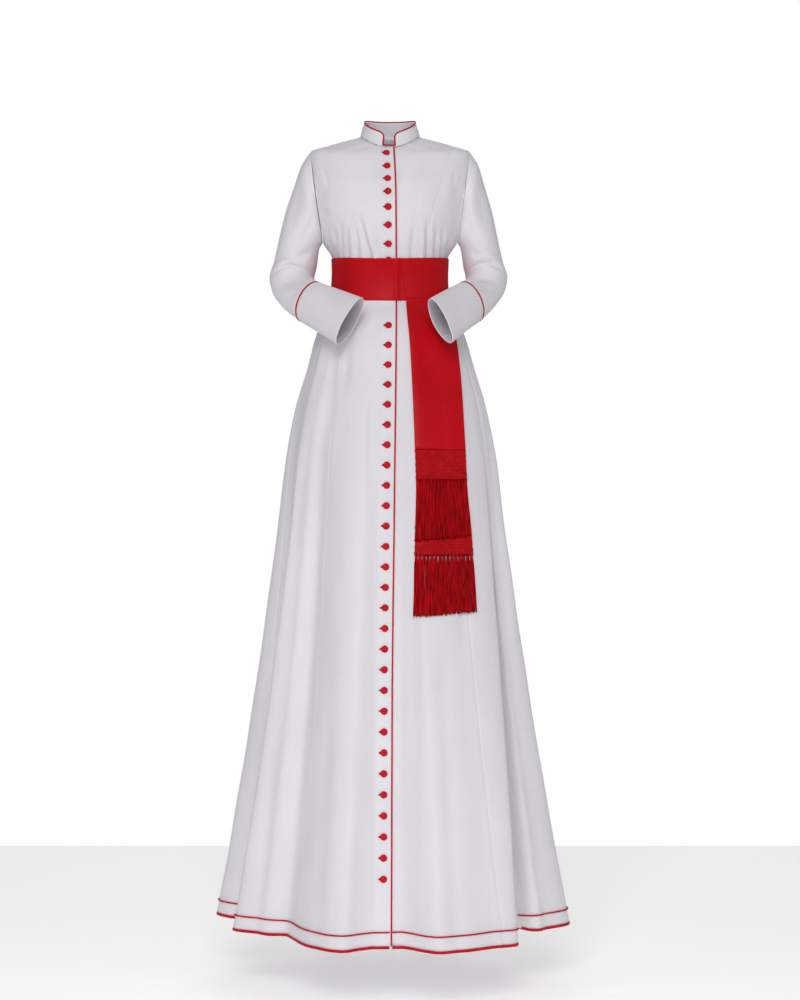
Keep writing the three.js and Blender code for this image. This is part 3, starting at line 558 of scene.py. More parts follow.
def cassock_cloth():
    """White worsted twill: fine diagonal ribs, a little slub, soft uneven whiteness."""
    n = Nodes("cassock_twill")
    n.set(sheen=0.18, sheen_rough=0.4, specular=0.28)
    patches = n.noise(0.11, 4, (1, 1, 0.45))
    slub = n.noise(0.0035, 3, (1, 1, 0.12))
    colour = n.ramp(patches, [(0.3, (0.775, 0.757, 0.800)), (0.7, (0.830, 0.812, 0.850))])
    colour = n.mix(0.05, colour, n.ramp(slub, [(0.35, (0.66, 0.64, 0.69)),
                                               (0.65, (0.93, 0.91, 0.94))]))
    ribs = n.threads(0.0011, (0, math.radians(58), 0))
    across = n.threads(0.0007, (0, math.radians(-20), math.radians(12)))
    weave = n.math("ADD", ribs, n.math("MULTIPLY", across, 0.5))
    normal = n.bump(weave, 0.00012, 0.35)
    normal = n.bump(n.noise(0.035, 3, (1, 1, 0.4)), 0.0012, 0.35, normal)
    return n.finish(colour, normal, n.math("ADD", n.math("MULTIPLY", slub, 0.15), 0.62))


def sash_satin():
    """Heavy red satin: long floats that catch the light along the band, with faint lines."""
    n = Nodes("sash_satin")
    n.set(specular=0.12, anisotropic=0.35)
    broad = n.noise(0.07, 3, (1, 1, 0.5))
    fine = n.noise(0.0012, 2, (0.2, 1, 1))
    colour = n.ramp(broad, [(0.3, (0.48, 0.001, 0.006)), (0.7, (0.58, 0.002, 0.008))])
    colour = n.mix(0.14, colour, n.ramp(fine, [(0.3, (0.28, 0.002, 0.005)),
                                               (0.7, (0.66, 0.008, 0.016))]))
    warp = n.threads(0.0006, (0, math.radians(4), 0), 0.3)
    normal = n.bump(warp, 0.00008, 0.3)
    normal = n.bump(n.noise(0.02, 2, (1, 1, 0.7)), 0.0008, 0.25, normal)
    return n.finish(colour, normal, n.math("ADD", n.math("MULTIPLY", broad, 0.18), 0.36))


def trim_satin(name, low, high, rough):
    """Red covered piping and buttons: bias-cut satin with small pulls and rubbed places."""
    n = Nodes(name)
    n.set(specular=0.14)
    rubbed = n.noise(0.012, 4)
    weave = n.threads(0.0005, (0, math.radians(45), math.radians(20)), 0.4)
    colour = n.ramp(rubbed, [(0.3, low), (0.72, high)])
    normal = n.bump(weave, 0.00008, 0.3)
    normal = n.bump(n.noise(0.004, 3), 0.0003, 0.4, normal)
    return n.finish(colour, normal, n.math("ADD", n.math("MULTIPLY", rubbed, 0.2), rough))


def fringe_cord():
    """Twisted rayon cord: deep red that varies from strand to strand, with its darkest streaks
    painted in as shade for the hollows between its strands.
    """
    n = Nodes("fringe_rayon")
    n.set(specular=0.06)
    strand_tone_and_shade = n.noise(0.0035, 3, (1, 1, 0.03))
    twist = n.threads(0.0016, (0, math.radians(62), 0), 0.8)
    # painted shade: the darkest stop stands for the shade in the hollows between the strands, the
    # other stops for the strands' own tone
    colour = n.ramp(strand_tone_and_shade, [(0.30, (0.16, 0.001, 0.002)), (0.50, (0.38, 0.001, 0.004)),
                             (0.78, (0.60, 0.006, 0.010))])
    normal = n.bump(twist, 0.0002, 0.5)
    return n.finish(colour, normal, n.math("ADD", n.math("MULTIPLY", strand_tone_and_shade, 0.2), 0.38))


def floor_material():
    n = Nodes("studio_floor")
    n.set(specular=0.1)
    n.shader.inputs["Emission Color"].default_value = (1, 1, 1, 1)
    n.shader.inputs["Emission Strength"].default_value = 0.36
    haze = n.noise(1.6, 2)
    colour = n.ramp(haze, [(0.3, (0.955, 0.955, 0.955)), (0.7, (0.965, 0.965, 0.965))])
    return n.finish(colour, None, n.math("ADD", n.math("MULTIPLY", haze, 0.05), 0.85))


# ---- the body's panels ----------------------------------------------------------------------

SEAM_ROLL = [0.25, 1.0, 2.2, 4.0]  # columns this close to a seam, where the cloth turns in


def share_steps(count, width):
    """Shares across a panel, even in the middle and close together along its two edges."""
    close = np.array(SEAM_ROLL) / width
    even = np.linspace(0, 1, count + 1)[1:-1]
    even = even[(even > close[-1] * 1.3) & (even < 1 - close[-1] * 1.3)]
    return np.concatenate([[0.0], close, even, 1 - close[::-1], [1.0]])


def seam_sink(across, width, left, right):
    """The cloth turns in along the seams: how far it sinks at a distance from them."""
    sink = np.zeros_like(across)
    if left:
        sink += 0.75 * np.exp(-((across * width) / 1.1) ** 2)
    if right:
        sink += 0.75 * np.exp(-(((1 - across) * width) / 1.1) ** 2)
    return sink


def down_rows(top):
    parts = [np.arange(top, 20, 4), np.arange(max(top, 20), 320, 5.0), np.arange(320, HEM_FOOT, 10),
             [HEM_FOOT]]
    rows = np.unique(np.round(np.concatenate(parts), 3))
    return rows[rows >= top]


def lap_drop(past):
    return -LAP_DROP * (1 - smooth(past, 0, LAP_BLEND))


# name: its top, its first and last angle at a distance down, columns, and rough width
PANELS = {
    "back_right": (COLLAR_SEAM, lambda d: -180 + 0 * d, lambda d: arm_angle(d) - 180, 46, 200),
    "side_front_right": (SEAM_START + 0.7, lambda d: -arm_angle(d), lambda d: -seam_angle(d),
                         40, 110),
    "front_right": (COLLAR_SEAM, lambda d: -seam_angle(d),
                    lambda d: angle_across(d, edge_across(d)), 48, 130),
    "front_left": (COLLAR_SEAM, lambda d: angle_across(d, edge_across(d) - UNDERLAP),
                   seam_angle, 52, 130),
    "side_front_left": (SEAM_START + 0.7, seam_angle, arm_angle, 40, 110),
    "back_left": (COLLAR_SEAM, lambda d: 180 - arm_angle(d), lambda d: 180 + 0 * d, 46, 200),
}


def panel_grids(name):
    top, first, last, count, width = PANELS[name]
    down = down_rows(top)[:, None]
    share = share_steps(count, width)[None, :]
    start, end = first(down), last(down)
    down, angle = np.broadcast_arrays(down, lerp(start, end, share))
    edge = seam_sink(share, width, name != "front_left", name != "front_right")
    past = surface(down, angle)[..., 0] - edge_across(down)
    back = lap_drop(past) if name == "front_left" else 0
    outer = cloth(down, angle, back - edge)
    inner = cloth(down, angle, back - CLOTH + 0.15 * edge)
    return outer, inner


def add_piece(name, node, body, material):
    """An object from points and faces that replaces one node of the solids."""
    obj = mesh_object(name, *body, material)
    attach(obj, "root")
    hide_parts(node)
    return obj


def build_panels(material):
    grids = {}
    for name in PANELS:
        outer, inner = panel_grids(name)
        add_piece(name + "_cloth", name, wall(outer, inner), material)
        grids[name] = outer
    return grids


# ---- sleeves and cuffs ----------------------------------------------------------------------

# outer point (across, height), inner point (across, height), depth, vector to the ring's front
UPPER_SLEEVE = np.array([
    [166, -36, 129, -188, -1, 0, -49, -2], [180, -72, 131, -191, 1, 0, -50, -6],
    [197, -122, 134, -196, 3, 0, -49, -6], [211, -178, 136, -207, 5, 0, -47, -4],
    [221, -222, 140, -234, 7, 0, -45, 0], [229, -252, 144, -250, 6, -3, -44, 4],
    [224, -276, 143, -257, -4, -8, -42, 8], [204, -309, 138, -262, -34, -13, -38, 10],
], float)
CUFF_SEAM = np.array([170, -339, 133, -267, -68, -17, -34, 9], float)
CUFF_END = {"right": np.array([96, -390, 49, -305, -162, -10, -35, 4], float),
            "left": np.array([112, -388, 72, -307, -172, -11, -34, 4], float)}
LEFT_SLIMMER, SLIMMER_FROM = 6.0, 3
SIDES = 96
CUFF_PIPING_AT = 0.0145

# lines of (across, height) on the sleeve's front, half width, depth; a ridge's depth is negative
SLEEVE_CREASES = {
    "right": [
        ([(-226, -252), (-212, -238), (-190, -231), (-168, -238), (-150, -252)], 3.6, 6.1),
        ([(-222, -243), (-206, -228), (-188, -221), (-166, -228)], 5.5, -4.2),
        ([(-196, -224), (-168, -218), (-142, -196)], 6.5, 3.2),
        ([(-216, -268), (-186, -262), (-158, -274)], 6.5, 2.9),
        ([(-196, -296), (-172, -290), (-150, -296)], 6.0, 1.9),
        ([(-172, -60), (-176, -112), (-190, -176)], 11, 3.5),
        ([(-150, -84), (-152, -130), (-160, -186)], 10, -2.4),
        ([(-142, -128), (-150, -160), (-176, -196)], 7, 2.9),
        ([(-160, -330), (-120, -352), (-84, -376)], 7, 2.1),
    ],
    "left": [
        ([(140, -250), (152, -236), (170, -229), (190, -227), (208, -236), (218, -250)], 3.6, 6.1),
        ([(150, -226), (170, -219), (190, -217), (208, -226)], 5.5, -4.2),
        ([(142, -196), (166, -214), (192, -214)], 6.5, 2.9),
        ([(146, -268), (172, -256), (204, -264)], 6.5, 3),
        ([(150, -286), (176, -276), (198, -284)], 6.0, 2.4),
        ([(168, -64), (174, -116), (186, -178)], 11, 3.5),
        ([(150, -84), (152, -132), (160, -186)], 10, -2.4),
        ([(142, -130), (150, -160), (172, -192)], 7, 2.9),
        ([(164, -332), (132, -352), (100, -372)], 7, 2.1),
    ],
}
SLEEVE_BACK_CREASES = [
    ([(222, -246), (200, -236), (172, -240), (150, -252)], 5.5, 2.6),
    ([(214, -222), (190, -214), (160, -220)], 7.0, 1.8),
    ([(160, -70), (172, -130), (196, -190)], 12, 2.4),
    ([(196, -300), (170, -286), (148, -290)], 7.0, 1.6),
]


def sleeve_loop(sign, row):
    outer = np.array([sign * row[0], row[4], row[1]])
    inner = np.array([sign * row[2], row[4], row[3]])
    bulge = np.array([-sign * row[5], row[6], row[7]])
    turn = np.linspace(0, 2 * np.pi, SIDES, endpoint=False)[:, None]
    return (outer + inner) / 2 + (outer - inner) / 2 * np.cos(turn) + bulge * np.sin(turn)


ARMHOLE_DOWN = [15, 36, 58, 80, 104, 128, 150, 170, 186]


def armhole_loop(sign, out=0.5):
    share = np.abs(1 - np.abs(np.linspace(0, 2, SIDES, endpoint=False) - 1)) * 8
    down = np.interp(share, np.arange(9), ARMHOLE_DOWN)
    behind = np.arange(SIDES) > SIDES / 2
    angle = np.where(behind, 180 - arm_angle(down), arm_angle(down))
    loop = surface(down, sign * angle)
    loop[:, 0] += sign * out
    return loop


def loop_normals(rows, sign):
    """The way out of a sleeve at each of its points."""
    along = np.gradient(rows, axis=0)
    round_ = np.roll(rows, -1, 1) - np.roll(rows, 1, 1)
    normals = unit(np.cross(along, round_)) * sign
    out = (normals * (rows - rows.mean(1, keepdims=True))).sum(-1).mean() >= 0
    return normals if out else -normals


def fading(creases, sign=1):
    """Creases that fade towards both ends, on the left sleeve or mirrored to the right one."""
    return [([(sign * x, z) for x, z in line], width, depth, False)
            for line, width, depth in creases]


def build_sleeve(side, material, trim):
    sign = -1 if side == "right" else 1
    slimmer = LEFT_SLIMMER if side == "left" else 0
    rings = [armhole_loop(sign)]
    for k, row in enumerate(UPPER_SLEEVE):
        row = row.copy()
        row[0] -= slimmer * min(k / SLIMMER_FROM, 1)
        rings.append(sleeve_loop(sign, row))
    seam, end = sleeve_loop(sign, CUFF_SEAM), sleeve_loop(sign, CUFF_END[side])
    rings.append(seam)
    rows, where = through(rings, [10, 8, 10, 12, 10, 10, 10, 12, 10])
    normals = loop_normals(rows, sign)
    depth = crease_depth(rows, fading(SLEEVE_CREASES[side])) * (normals[..., 1] < 0.15)
    depth += crease_depth(rows, fading(SLEEVE_BACK_CREASES, sign)) * (normals[..., 1] > 0)
    near = np.minimum(where, where[-1] - where)[:, None]
    depth *= smooth(near, 2, 22)
    depth += 0.45 * np.exp(-(near / 1.3) ** 2)
    outer = rows - normals * depth[..., None]
    inner = rows - normals * (depth[..., None] * 0.9 + CLOTH)
    sleeve = add_piece(f"sleeve_{side}_cloth", f"sleeve_{side}", wall(outer, inner, True),
                       material)

    share = np.concatenate([[0.03, 0.036, 0.05], np.linspace(0.08, 0.96, 26), [0.98, 0.99, 1.0]])
    cuff = seam[None] + (end - seam)[None] * share[:, None, None]
    cuff_normals = loop_normals(cuff, sign)
    length = np.linalg.norm(end.mean(0) - seam.mean(0))
    from_top, from_end = share[:, None] * length, (1 - share[:, None]) * length
    sink = (0.7 * np.exp(-((from_top - 0.03 * length) / 1.3) ** 2)
            + 0.5 * np.exp(-(from_end / 0.9) ** 2))
    ripple = crease_depth(cuff, fading(SLEEVE_CREASES[side])) * (cuff_normals[..., 1] < 0.2)
    turn = np.linspace(0, 2 * np.pi, SIDES, endpoint=False)[None, :]
    ripple = ripple + 0.7 * np.sin(3 * turn + 2.2 * share[:, None] + (1 if side == "left" else 0))
    ripple = ripple * smooth(share[:, None], 0.04, 0.4)
    outer_cuff = cuff - cuff_normals * (sink + ripple)[..., None]
    inner_cuff = cuff - cuff_normals * (ripple + CLOTH)[..., None]
    band = add_piece(f"cuff_{side}_cloth", f"cuff_{side}",
                     wall(outer_cuff, inner_cuff, True), material)

    centre = seam + (end - seam) * CUFF_PIPING_AT
    away = unit(centre - centre.mean(0))
    path = centre - away * CLOTH / 2
    normal = unit(end.mean(0) - seam.mean(0))
    cord = add_piece(f"cuff_piping_{side}_cord", f"cuff_piping_{side}",
                     tube(path, PIPING, 10, True, normal), trim)
    return sleeve, outer, band, outer_cuff, cord


# ---- collar ---------------------------------------------------------------------------------

COLLAR = dict(half=49, fore=53, aft=45)
collar_height = monotone([0, 20, 35, 55, 75, 90, 110, 140, 180],
                         [7.5, 15, 20.3, 27.6, 35.5, 41.5, 45, 47, 47.5])
NOTCH = dict(right=-15.0, left=12.0)
CORNER = 3.5


def collar_columns():
    """Foot and top points of the collar from the notch's left side round to its right side."""
    first = float(angle_across(COLLAR_SEAM, NOTCH["left"]))
    last = float(angle_across(COLLAR_SEAM, NOTCH["right"])) + 360
    ends = np.array([0, 0.6, 1.4, 2.4, CORNER])
    middle = np.linspace(first + 2 * CORNER, last - 2 * CORNER, 150)
    angle = np.concatenate([first + ends, middle, last - ends[::-1]])
    turn = np.radians(angle)
    foot = surface(COLLAR_SEAM, wrapped(angle)) + [0, 0, SEAT]
    ahead = np.cos(turn) > 0
    height = collar_height(np.minimum(angle, 360 - angle))
    depth = np.where(ahead, COLLAR["fore"], COLLAR["aft"])
    top = np.stack([COLLAR["half"] * np.sin(turn), -depth * np.cos(turn), height], -1)
    near = np.minimum(angle - first, last - angle)
    share = np.interp(near, [0, 1.4, CORNER, 2 * CORNER], [0.84, 0.93, 0.97, 1.0])
    top = foot + (top - foot) * share[:, None]
    out = unit(np.stack([np.sin(turn) / 57, -np.cos(turn) / 60, 0 * turn], -1))
    return angle, foot, top, out


def build_collar(material, trim):
    angle, foot, top, out = collar_columns()
    share = np.concatenate([[0, 0.02, 0.06], np.linspace(0.12, 0.9, 12), [0.96, 0.99, 1]])
    share = share[:, None, None]
    rows = foot[None] + (top - foot)[None] * share
    height = np.linalg.norm(top - foot, axis=1)[None, :]
    crown = 1.1 * np.sin(np.pi * share[..., 0]) * (height / 40)
    sink = 0.6 * np.exp(-((share[..., 0] * height) / 1.2) ** 2)
    ripple = 0.35 * np.sin(np.radians(angle * 6 + 25))[None, :] * np.sin(np.pi * share[..., 0])
    lift = (crown * 0.4 + ripple - sink)[..., None]
    outer = rows + out[None] * lift
    inner = rows + out[None] * (np.minimum(lift, 0.2) - COLLAR_BAND)
    collar = add_piece("collar_cloth", "collar", wall(outer, inner), material)

    clear = PIPING + SEAT + 0.3
    one, two = foot[0] - [clear, 0, 0], foot[-1] + [clear, 0, 0]
    edge = top + [0, 0, clear]
    edge[0] += [-0.7 * clear, 0, -0.3]
    edge[-1] += [0.7 * clear, 0, -0.3]
    side_one = lerp(one, top[0] - [clear, 0, 0], 0.6)
    side_two = lerp(two, top[-1] + [clear, 0, 0], 0.6)
    path = np.vstack([one + [0, 0, clear], side_one, edge, side_two, two + [0, 0, clear]])
    outs = np.vstack([out[:1], out[:1], out, out[-1:], out[-1:]])
    path = path - outs * COLLAR_BAND / 2
    path = resample(np.vstack([path, path[:1]]), 1.6)[:-1]
    for _ in range(2):
        path = (np.roll(path, 1, 0) + 2 * path + np.roll(path, -1, 0)) / 4
    cord = add_piece("collar_piping_cord", "collar_piping",
                     tube(path, PIPING, 10, True, (0.05, 0.02, 1)), trim)
    return collar, outer, cord


# ---- piping, binding and buttons ------------------------------------------------------------


def build_front_piping(trim):
    down = np.arange(-13, HEM_FOOT + 0.1, 3.0)
    down[0] = -12.0
    angle = angle_across(down, edge_across(down))
    points = cloth(down, angle, -0.15) + [PIPING + 0.15, 0, 0]
    points[:, 2] = np.minimum(points[:, 2], points[0, 2])
    return add_piece("front_piping_cord", "front_piping",
                     tube(points, PIPING, 10, False, (0, 1, 0.02)), trim)


def around(down, step=1.0):
    """Angles from the piping round the body to the right front's edge."""
    first = float(angle_across(down, edge_at(down)))
    return np.concatenate([np.arange(first + 0.6, first + 359.6, step), [first + 359.6]])


def build_hem(trim):
    angle = wrapped(around(HEM_LINE, 0.8))
    past = surface(HEM_LINE, angle)[:, 0] - edge_at(HEM_LINE)
    ahead = (np.abs(angle) < 40) & (past > 0)
    drop = np.where(ahead, lap_drop(past), 0)
    path = cloth(HEM_LINE, angle, PIPING + SEAT * 0.4 + drop)
    path[:, 2] += 0.25 * np.sin(np.radians(angle * 23))
    add_piece("hem_piping_cord", "hem_piping", tube(path, PIPING), trim)

    angle = wrapped(around(HEM_FOOT, 0.8))
    out = outward(HEM_FOOT, angle)
    out[:, 2] = 0
    out = unit(out)
    top = cloth(HEM_FOOT, angle)
    top[:, 2] = -HEM_FOOT - 0.25
    proud, tall, back = BINDING["proud"], BINDING["height"], CLOTH
    section = [(proud * 0.5, 0.3), (proud, -0.6), (proud + 0.1, -tall * 0.5),
               (proud * 0.8, -tall + 1.0), (0, -tall + 0.1), (-back + 0.6, -tall + 0.2),
               (-back - 0.1, -tall + 1.2), (-back - 0.1, -0.6), (-back + 0.3, 0.0)]
    rings = np.stack([top + out * x + [0, 0, z] for x, z in section], 1)
    count = len(section)
    faces = [tuple(f) for f in grid_faces(len(rings), count, 0, True)]
    faces += [tuple(range(count))[::-1], tuple((len(rings) - 1) * count + k for k in range(count))]
    add_piece("hem_binding_tape", "hem_binding", (rings.reshape(-1, 3), faces), trim)


# radius and height over the cloth, from the button's rim to near its tip
BUTTON_PROFILE = [(6.0, 0.0), (6.45, 0.5), (6.5, 1.1), (6.15, 1.9), (5.3, 2.8), (4.0, 3.55),
                  (2.4, 4.0), (1.0, 4.18)]
BUTTON_TIP = 4.22
BUTTON_SIDES = 28


def button_frames():
    """For all buttons: where each sits, and the directions out, up and to the wearer's left."""
    height = -np.array(BODICE_BUTTONS + SKIRT_BUTTONS, float)
    angle = np.zeros(len(height))
    for _ in range(3):
        down = down_at(height, angle)
        angle = angle_across(down, edge_across(down) - BUTTON_INSET)
    out = outward(down, angle)
    up = unit(surface(down - 2, angle) - surface(down + 2, angle))
    return cloth(down, angle, SEAT), out, up, unit(np.cross(up, out))


def build_buttons(trim, thread):
    rng = np.random.default_rng(7)
    buttons, holes = [], []
    for number, (seat, out, up, right) in enumerate(zip(*button_frames()), 1):
        tilt = rng.normal(0, 0.03, 2)
        out = unit(out + up * tilt[0] + right * tilt[1])
        turn = np.linspace(0, 2 * np.pi, BUTTON_SIDES, endpoint=False)
        ring = np.cos(turn)[:, None] * right + np.sin(turn)[:, None] * up
        rows = [seat + ring * r * (1 + 0.006 * np.sin(7 * turn + number))[:, None] + out * h
                for r, h in BUTTON_PROFILE]
        points = np.concatenate(rows + [[seat + out * BUTTON_TIP], [seat]])
        faces = [tuple(f[::-1]) for f in grid_faces(len(rows), BUTTON_SIDES, 0, True)]
        tip, base, last = len(points) - 2, len(points) - 1, (len(rows) - 1) * BUTTON_SIDES
        pairs = [(k, (k + 1) % BUTTON_SIDES) for k in range(BUTTON_SIDES)]
        faces += [(last + one, last + two, tip) for one, two in pairs]
        faces += [(two, one, base) for one, two in pairs]
        buttons.append(add_piece(f"button_{number:02d}_cover", f"button_{number:02d}",
                                 (points, faces), trim))
        steps = np.linspace(0, 1, 6)
        for side in (-1, 0, 1):
            path = (seat - right * (4.6 + 5.2 * steps)[:, None]
                    + up * (side * 2.3 * (1 - steps))[:, None] + out * 0.3)
            holes.append(tube(path, 1.15 - 0.65 * steps, 6, False, out))
    tips = mesh_object("buttonhole_tips", *joined(holes), thread)
    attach(tips, "root")
    return buttons, tips


# ---- sash -----------------------------------------------------------------------------------

SASH = dict(start=44.0, ramp=40.0, end_top=19.0, end_foot=30.0)


def band_bulge(down, angle):
    """The band passes over the piping, and its upper edge over the button that it half covers."""
    across = surface(down, angle)[..., 0] - edge_across(down)
    ahead = np.abs(angle) < 60
    over_piping = 2.9 * np.exp(-((across - PIPING) / 4.2) ** 2)
    high = 1 - smooth(down, SASH_TOP, SASH_TOP + 26)
    over_button = 6.6 * high * np.exp(-((across + BUTTON_INSET) / 8.5) ** 2)
    return np.where(ahead, np.maximum(over_piping, over_button) * 0.9 + 0.25 * over_piping, 0)


def build_band(satin):
    down = np.concatenate([[SASH_TOP, SASH_TOP + 0.5, SASH_TOP + 1.6],
                           np.linspace(SASH_TOP + 5, SASH_FOOT - 5, 15),
                           [SASH_FOOT - 1.6, SASH_FOOT - 0.5, SASH_FOOT]])[:, None]
    share = (down - SASH_TOP) / (SASH_FOOT - SASH_TOP)
    end = angle_across(down, lerp(SASH["end_top"], SASH["end_foot"], share)) + 0 * down
    whole = SASH["start"] + (360 - end)
    steps = np.linspace(0, 1, 330)
    steps = np.sort(np.concatenate([steps, 1 - np.array([0.0004, 0.0012, 0.0028])]))[None, :]
    run = steps * whole
    angle = SASH["start"] - run
    turned = np.where(angle < -180, angle + 360, angle)
    layer = SATIN + SEAT + 0.15
    past = run - (360 - SASH["ramp"])
    climb = layer * smooth(past, 0, SASH["ramp"] - 6)
    wide = np.broadcast_to(down, angle.shape)
    base = 0.5 + band_bulge(wide, turned) + climb
    wrinkle = (0.35 * np.sin(np.radians(turned * 5) + 5 * share)
               + 0.3 * np.sin(np.radians(turned * 13) + 3 * share)
               + 0.5 * np.sin(np.pi * share * 2 + np.radians(turned * 2)))
    wrinkle = wrinkle * np.sin(np.pi * share) ** 0.7
    lift = base + SATIN + np.maximum(wrinkle, -0.2)
    lip = 0.45 * np.exp(-(np.minimum(share, 1 - share) * 80 / 0.7) ** 2)
    outer = surface(wide, turned) + outward(wide, turned) * (lift - lip)[..., None]
    inner = surface(wide, turned) + outward(wide, turned) * base[..., None]
    return add_piece("sash_band_satin", "sash_band", wall(outer, inner), satin), outer


TAIL_EDGES = np.array([[-303, 30, 94], [-340, 33, 112], [-385, 37, 126], [-565, 45.5, 139],
                       [-650, 48, 143], [-750, 45.5, 152], [-885, 42, 161]], float)
TAILS = {"front": dict(out=3.8, satin=-583.0, knots=-636.0, fringe=-750.0, slope=9.0),
         "back": dict(out=1.5, satin=-722.0, knots=-773.0, fringe=-886.0, slope=7.0)}
TAIL_TURN, TAIL_TANGENT = 38.0, 6.0
TAIL_STEP, TAIL_COLUMNS = 6, 34
tail_left = monotone(-TAIL_EDGES[:, 0], TAIL_EDGES[:, 1])
tail_right = monotone(-TAIL_EDGES[:, 0], TAIL_EDGES[:, 2])


# the net on which the skirt's front is looked up: its top and steps down, its left and steps across
NET_TOP, NET_DROP, NET_LEFT, NET_PITCH = -296.0, 6.0, 10.0, 4.0


def front_table():
    """How far forward the skirt's front lies, and how steeply, on a net of across and height."""
    height = np.arange(NET_TOP, -909.0, -NET_DROP)
    across = np.arange(NET_LEFT, 182.0, NET_PITCH)
    high, wide = [a.T for a in np.meshgrid(height, across)]

    def at(angle):
        down = np.maximum(down_at(high, angle), SASH_FOOT + 0.6)
        points = surface(down, angle)
        return np.concatenate([points, np.abs(outward(down, angle)[..., 1:2])], -1)

    last = at(np.full(wide.shape, TAIL_TURN))
    before = at(np.full(wide.shape, TAIL_TURN - TAIL_TANGENT))
    share = (last[..., 0] - wide) / (last[..., 0] - before[..., 0])
    beyond = last + (before - last) * share[..., None]
    beyond[..., 3] = last[..., 3]
    low, high_angle = np.zeros(wide.shape), np.full(wide.shape, TAIL_TURN)
    for _ in range(14):
        middle = (low + high_angle) / 2
        short = at(middle)[..., 0] < wide
        low, high_angle = np.where(short, middle, low), np.where(short, high_angle, middle)
    found = np.where((wide > last[..., 0])[..., None], beyond, at(low))
    return found[..., 1], np.maximum(found[..., 3], 0.45)


FRONT_DEPTH, FRONT_FACING = front_table()


def on_front(across, height, out):
    """A point over the skirt's front; past the turn of the skirt it runs straight on."""
    across, height = np.broadcast_arrays(np.asarray(across, float), np.asarray(height, float))
    row = np.clip((NET_TOP - height) / NET_DROP, 0, FRONT_DEPTH.shape[0] - 1.001)
    column = np.clip((across - NET_LEFT) / NET_PITCH, 0, FRONT_DEPTH.shape[1] - 1.001)
    r, c = row.astype(int), column.astype(int)
    u, v = row - r, column - c

    def read(table):
        upper = lerp(table[r, c], table[r, c + 1], v)
        return lerp(upper, lerp(table[r + 1, c], table[r + 1, c + 1], v), u)

    return np.stack([across, read(FRONT_DEPTH) - out / read(FRONT_FACING), height], -1)


def tail_across(height, share):
    return lerp(tail_left(-height), tail_right(-height), share)


def tail_grid(name):
    """The outer and inner faces of one hanging end's satin."""
    spec = TAILS[name]
    rows = int(round((-SASH_FOOT - spec["satin"]) / TAIL_STEP))
    height = np.linspace(-SASH_FOOT, spec["satin"], rows + 1)[:, None]
    share = np.linspace(0, 1, TAIL_COLUMNS + 1)
    share = np.sort(np.concatenate([share, [0.006, 0.016, 0.984, 0.994]]))[None, :]
    height, share = np.broadcast_arrays(height, share)
    fall = (-SASH_FOOT - 6 - height) / 500
    wave = (0.9 * np.sin(share * 7 + fall * 4) + 0.6 * np.sin(share * 15 - fall * 7 + 1.1))
    wave = wave * smooth(fall, 0.02, 0.3) * 0.8
    hem = 0.5 * np.exp(-(np.minimum(share, 1 - share) * 95 / 0.9) ** 2)
    inner = on_front(tail_across(height, share), height, spec["out"])
    base = on_front(tail_across(height, share), height, spec["out"] + 1.0) - inner
    outer = inner + base * (SATIN + np.maximum(wave, -0.1) - hem)[..., None]
    inner = inner + base * (np.maximum(wave, -0.1) * 0.9)[..., None]
    return outer, inner


def twisted(path, radius, pitch, sides, phase, up=(0, -1, 0)):
    """Two yarns twisted round each other along a path."""
    path = np.asarray(path, float)
    run = np.concatenate([[0], np.cumsum(np.linalg.norm(np.diff(path, axis=0), axis=1))])
    along = unit(np.gradient(path, axis=0))
    side = unit(np.cross(along, np.broadcast_to(np.asarray(up, float), along.shape)))
    over = np.cross(side, along)
    parts = []
    for k in range(2):
        turn = 2 * np.pi * run / pitch + phase + np.pi * k
        shift = side * np.cos(turn)[:, None] + over * np.sin(turn)[:, None]
        parts.append(tube(path + shift * radius * 0.5, radius * 0.56, sides, False, up))
    return parts


def build_tail(name, satin, cord_material, knot_material):
    outer, inner = tail_grid(name)
    tail = add_piece(f"sash_tail_{name}_satin", f"sash_tail_{name}", wall(outer, inner),
                     satin)
    return tail, outer, knotted_band(name, knot_material), hanging_fringe(name, cord_material)


KNOTS_ACROSS = 17
KNOT_ROWS = 9


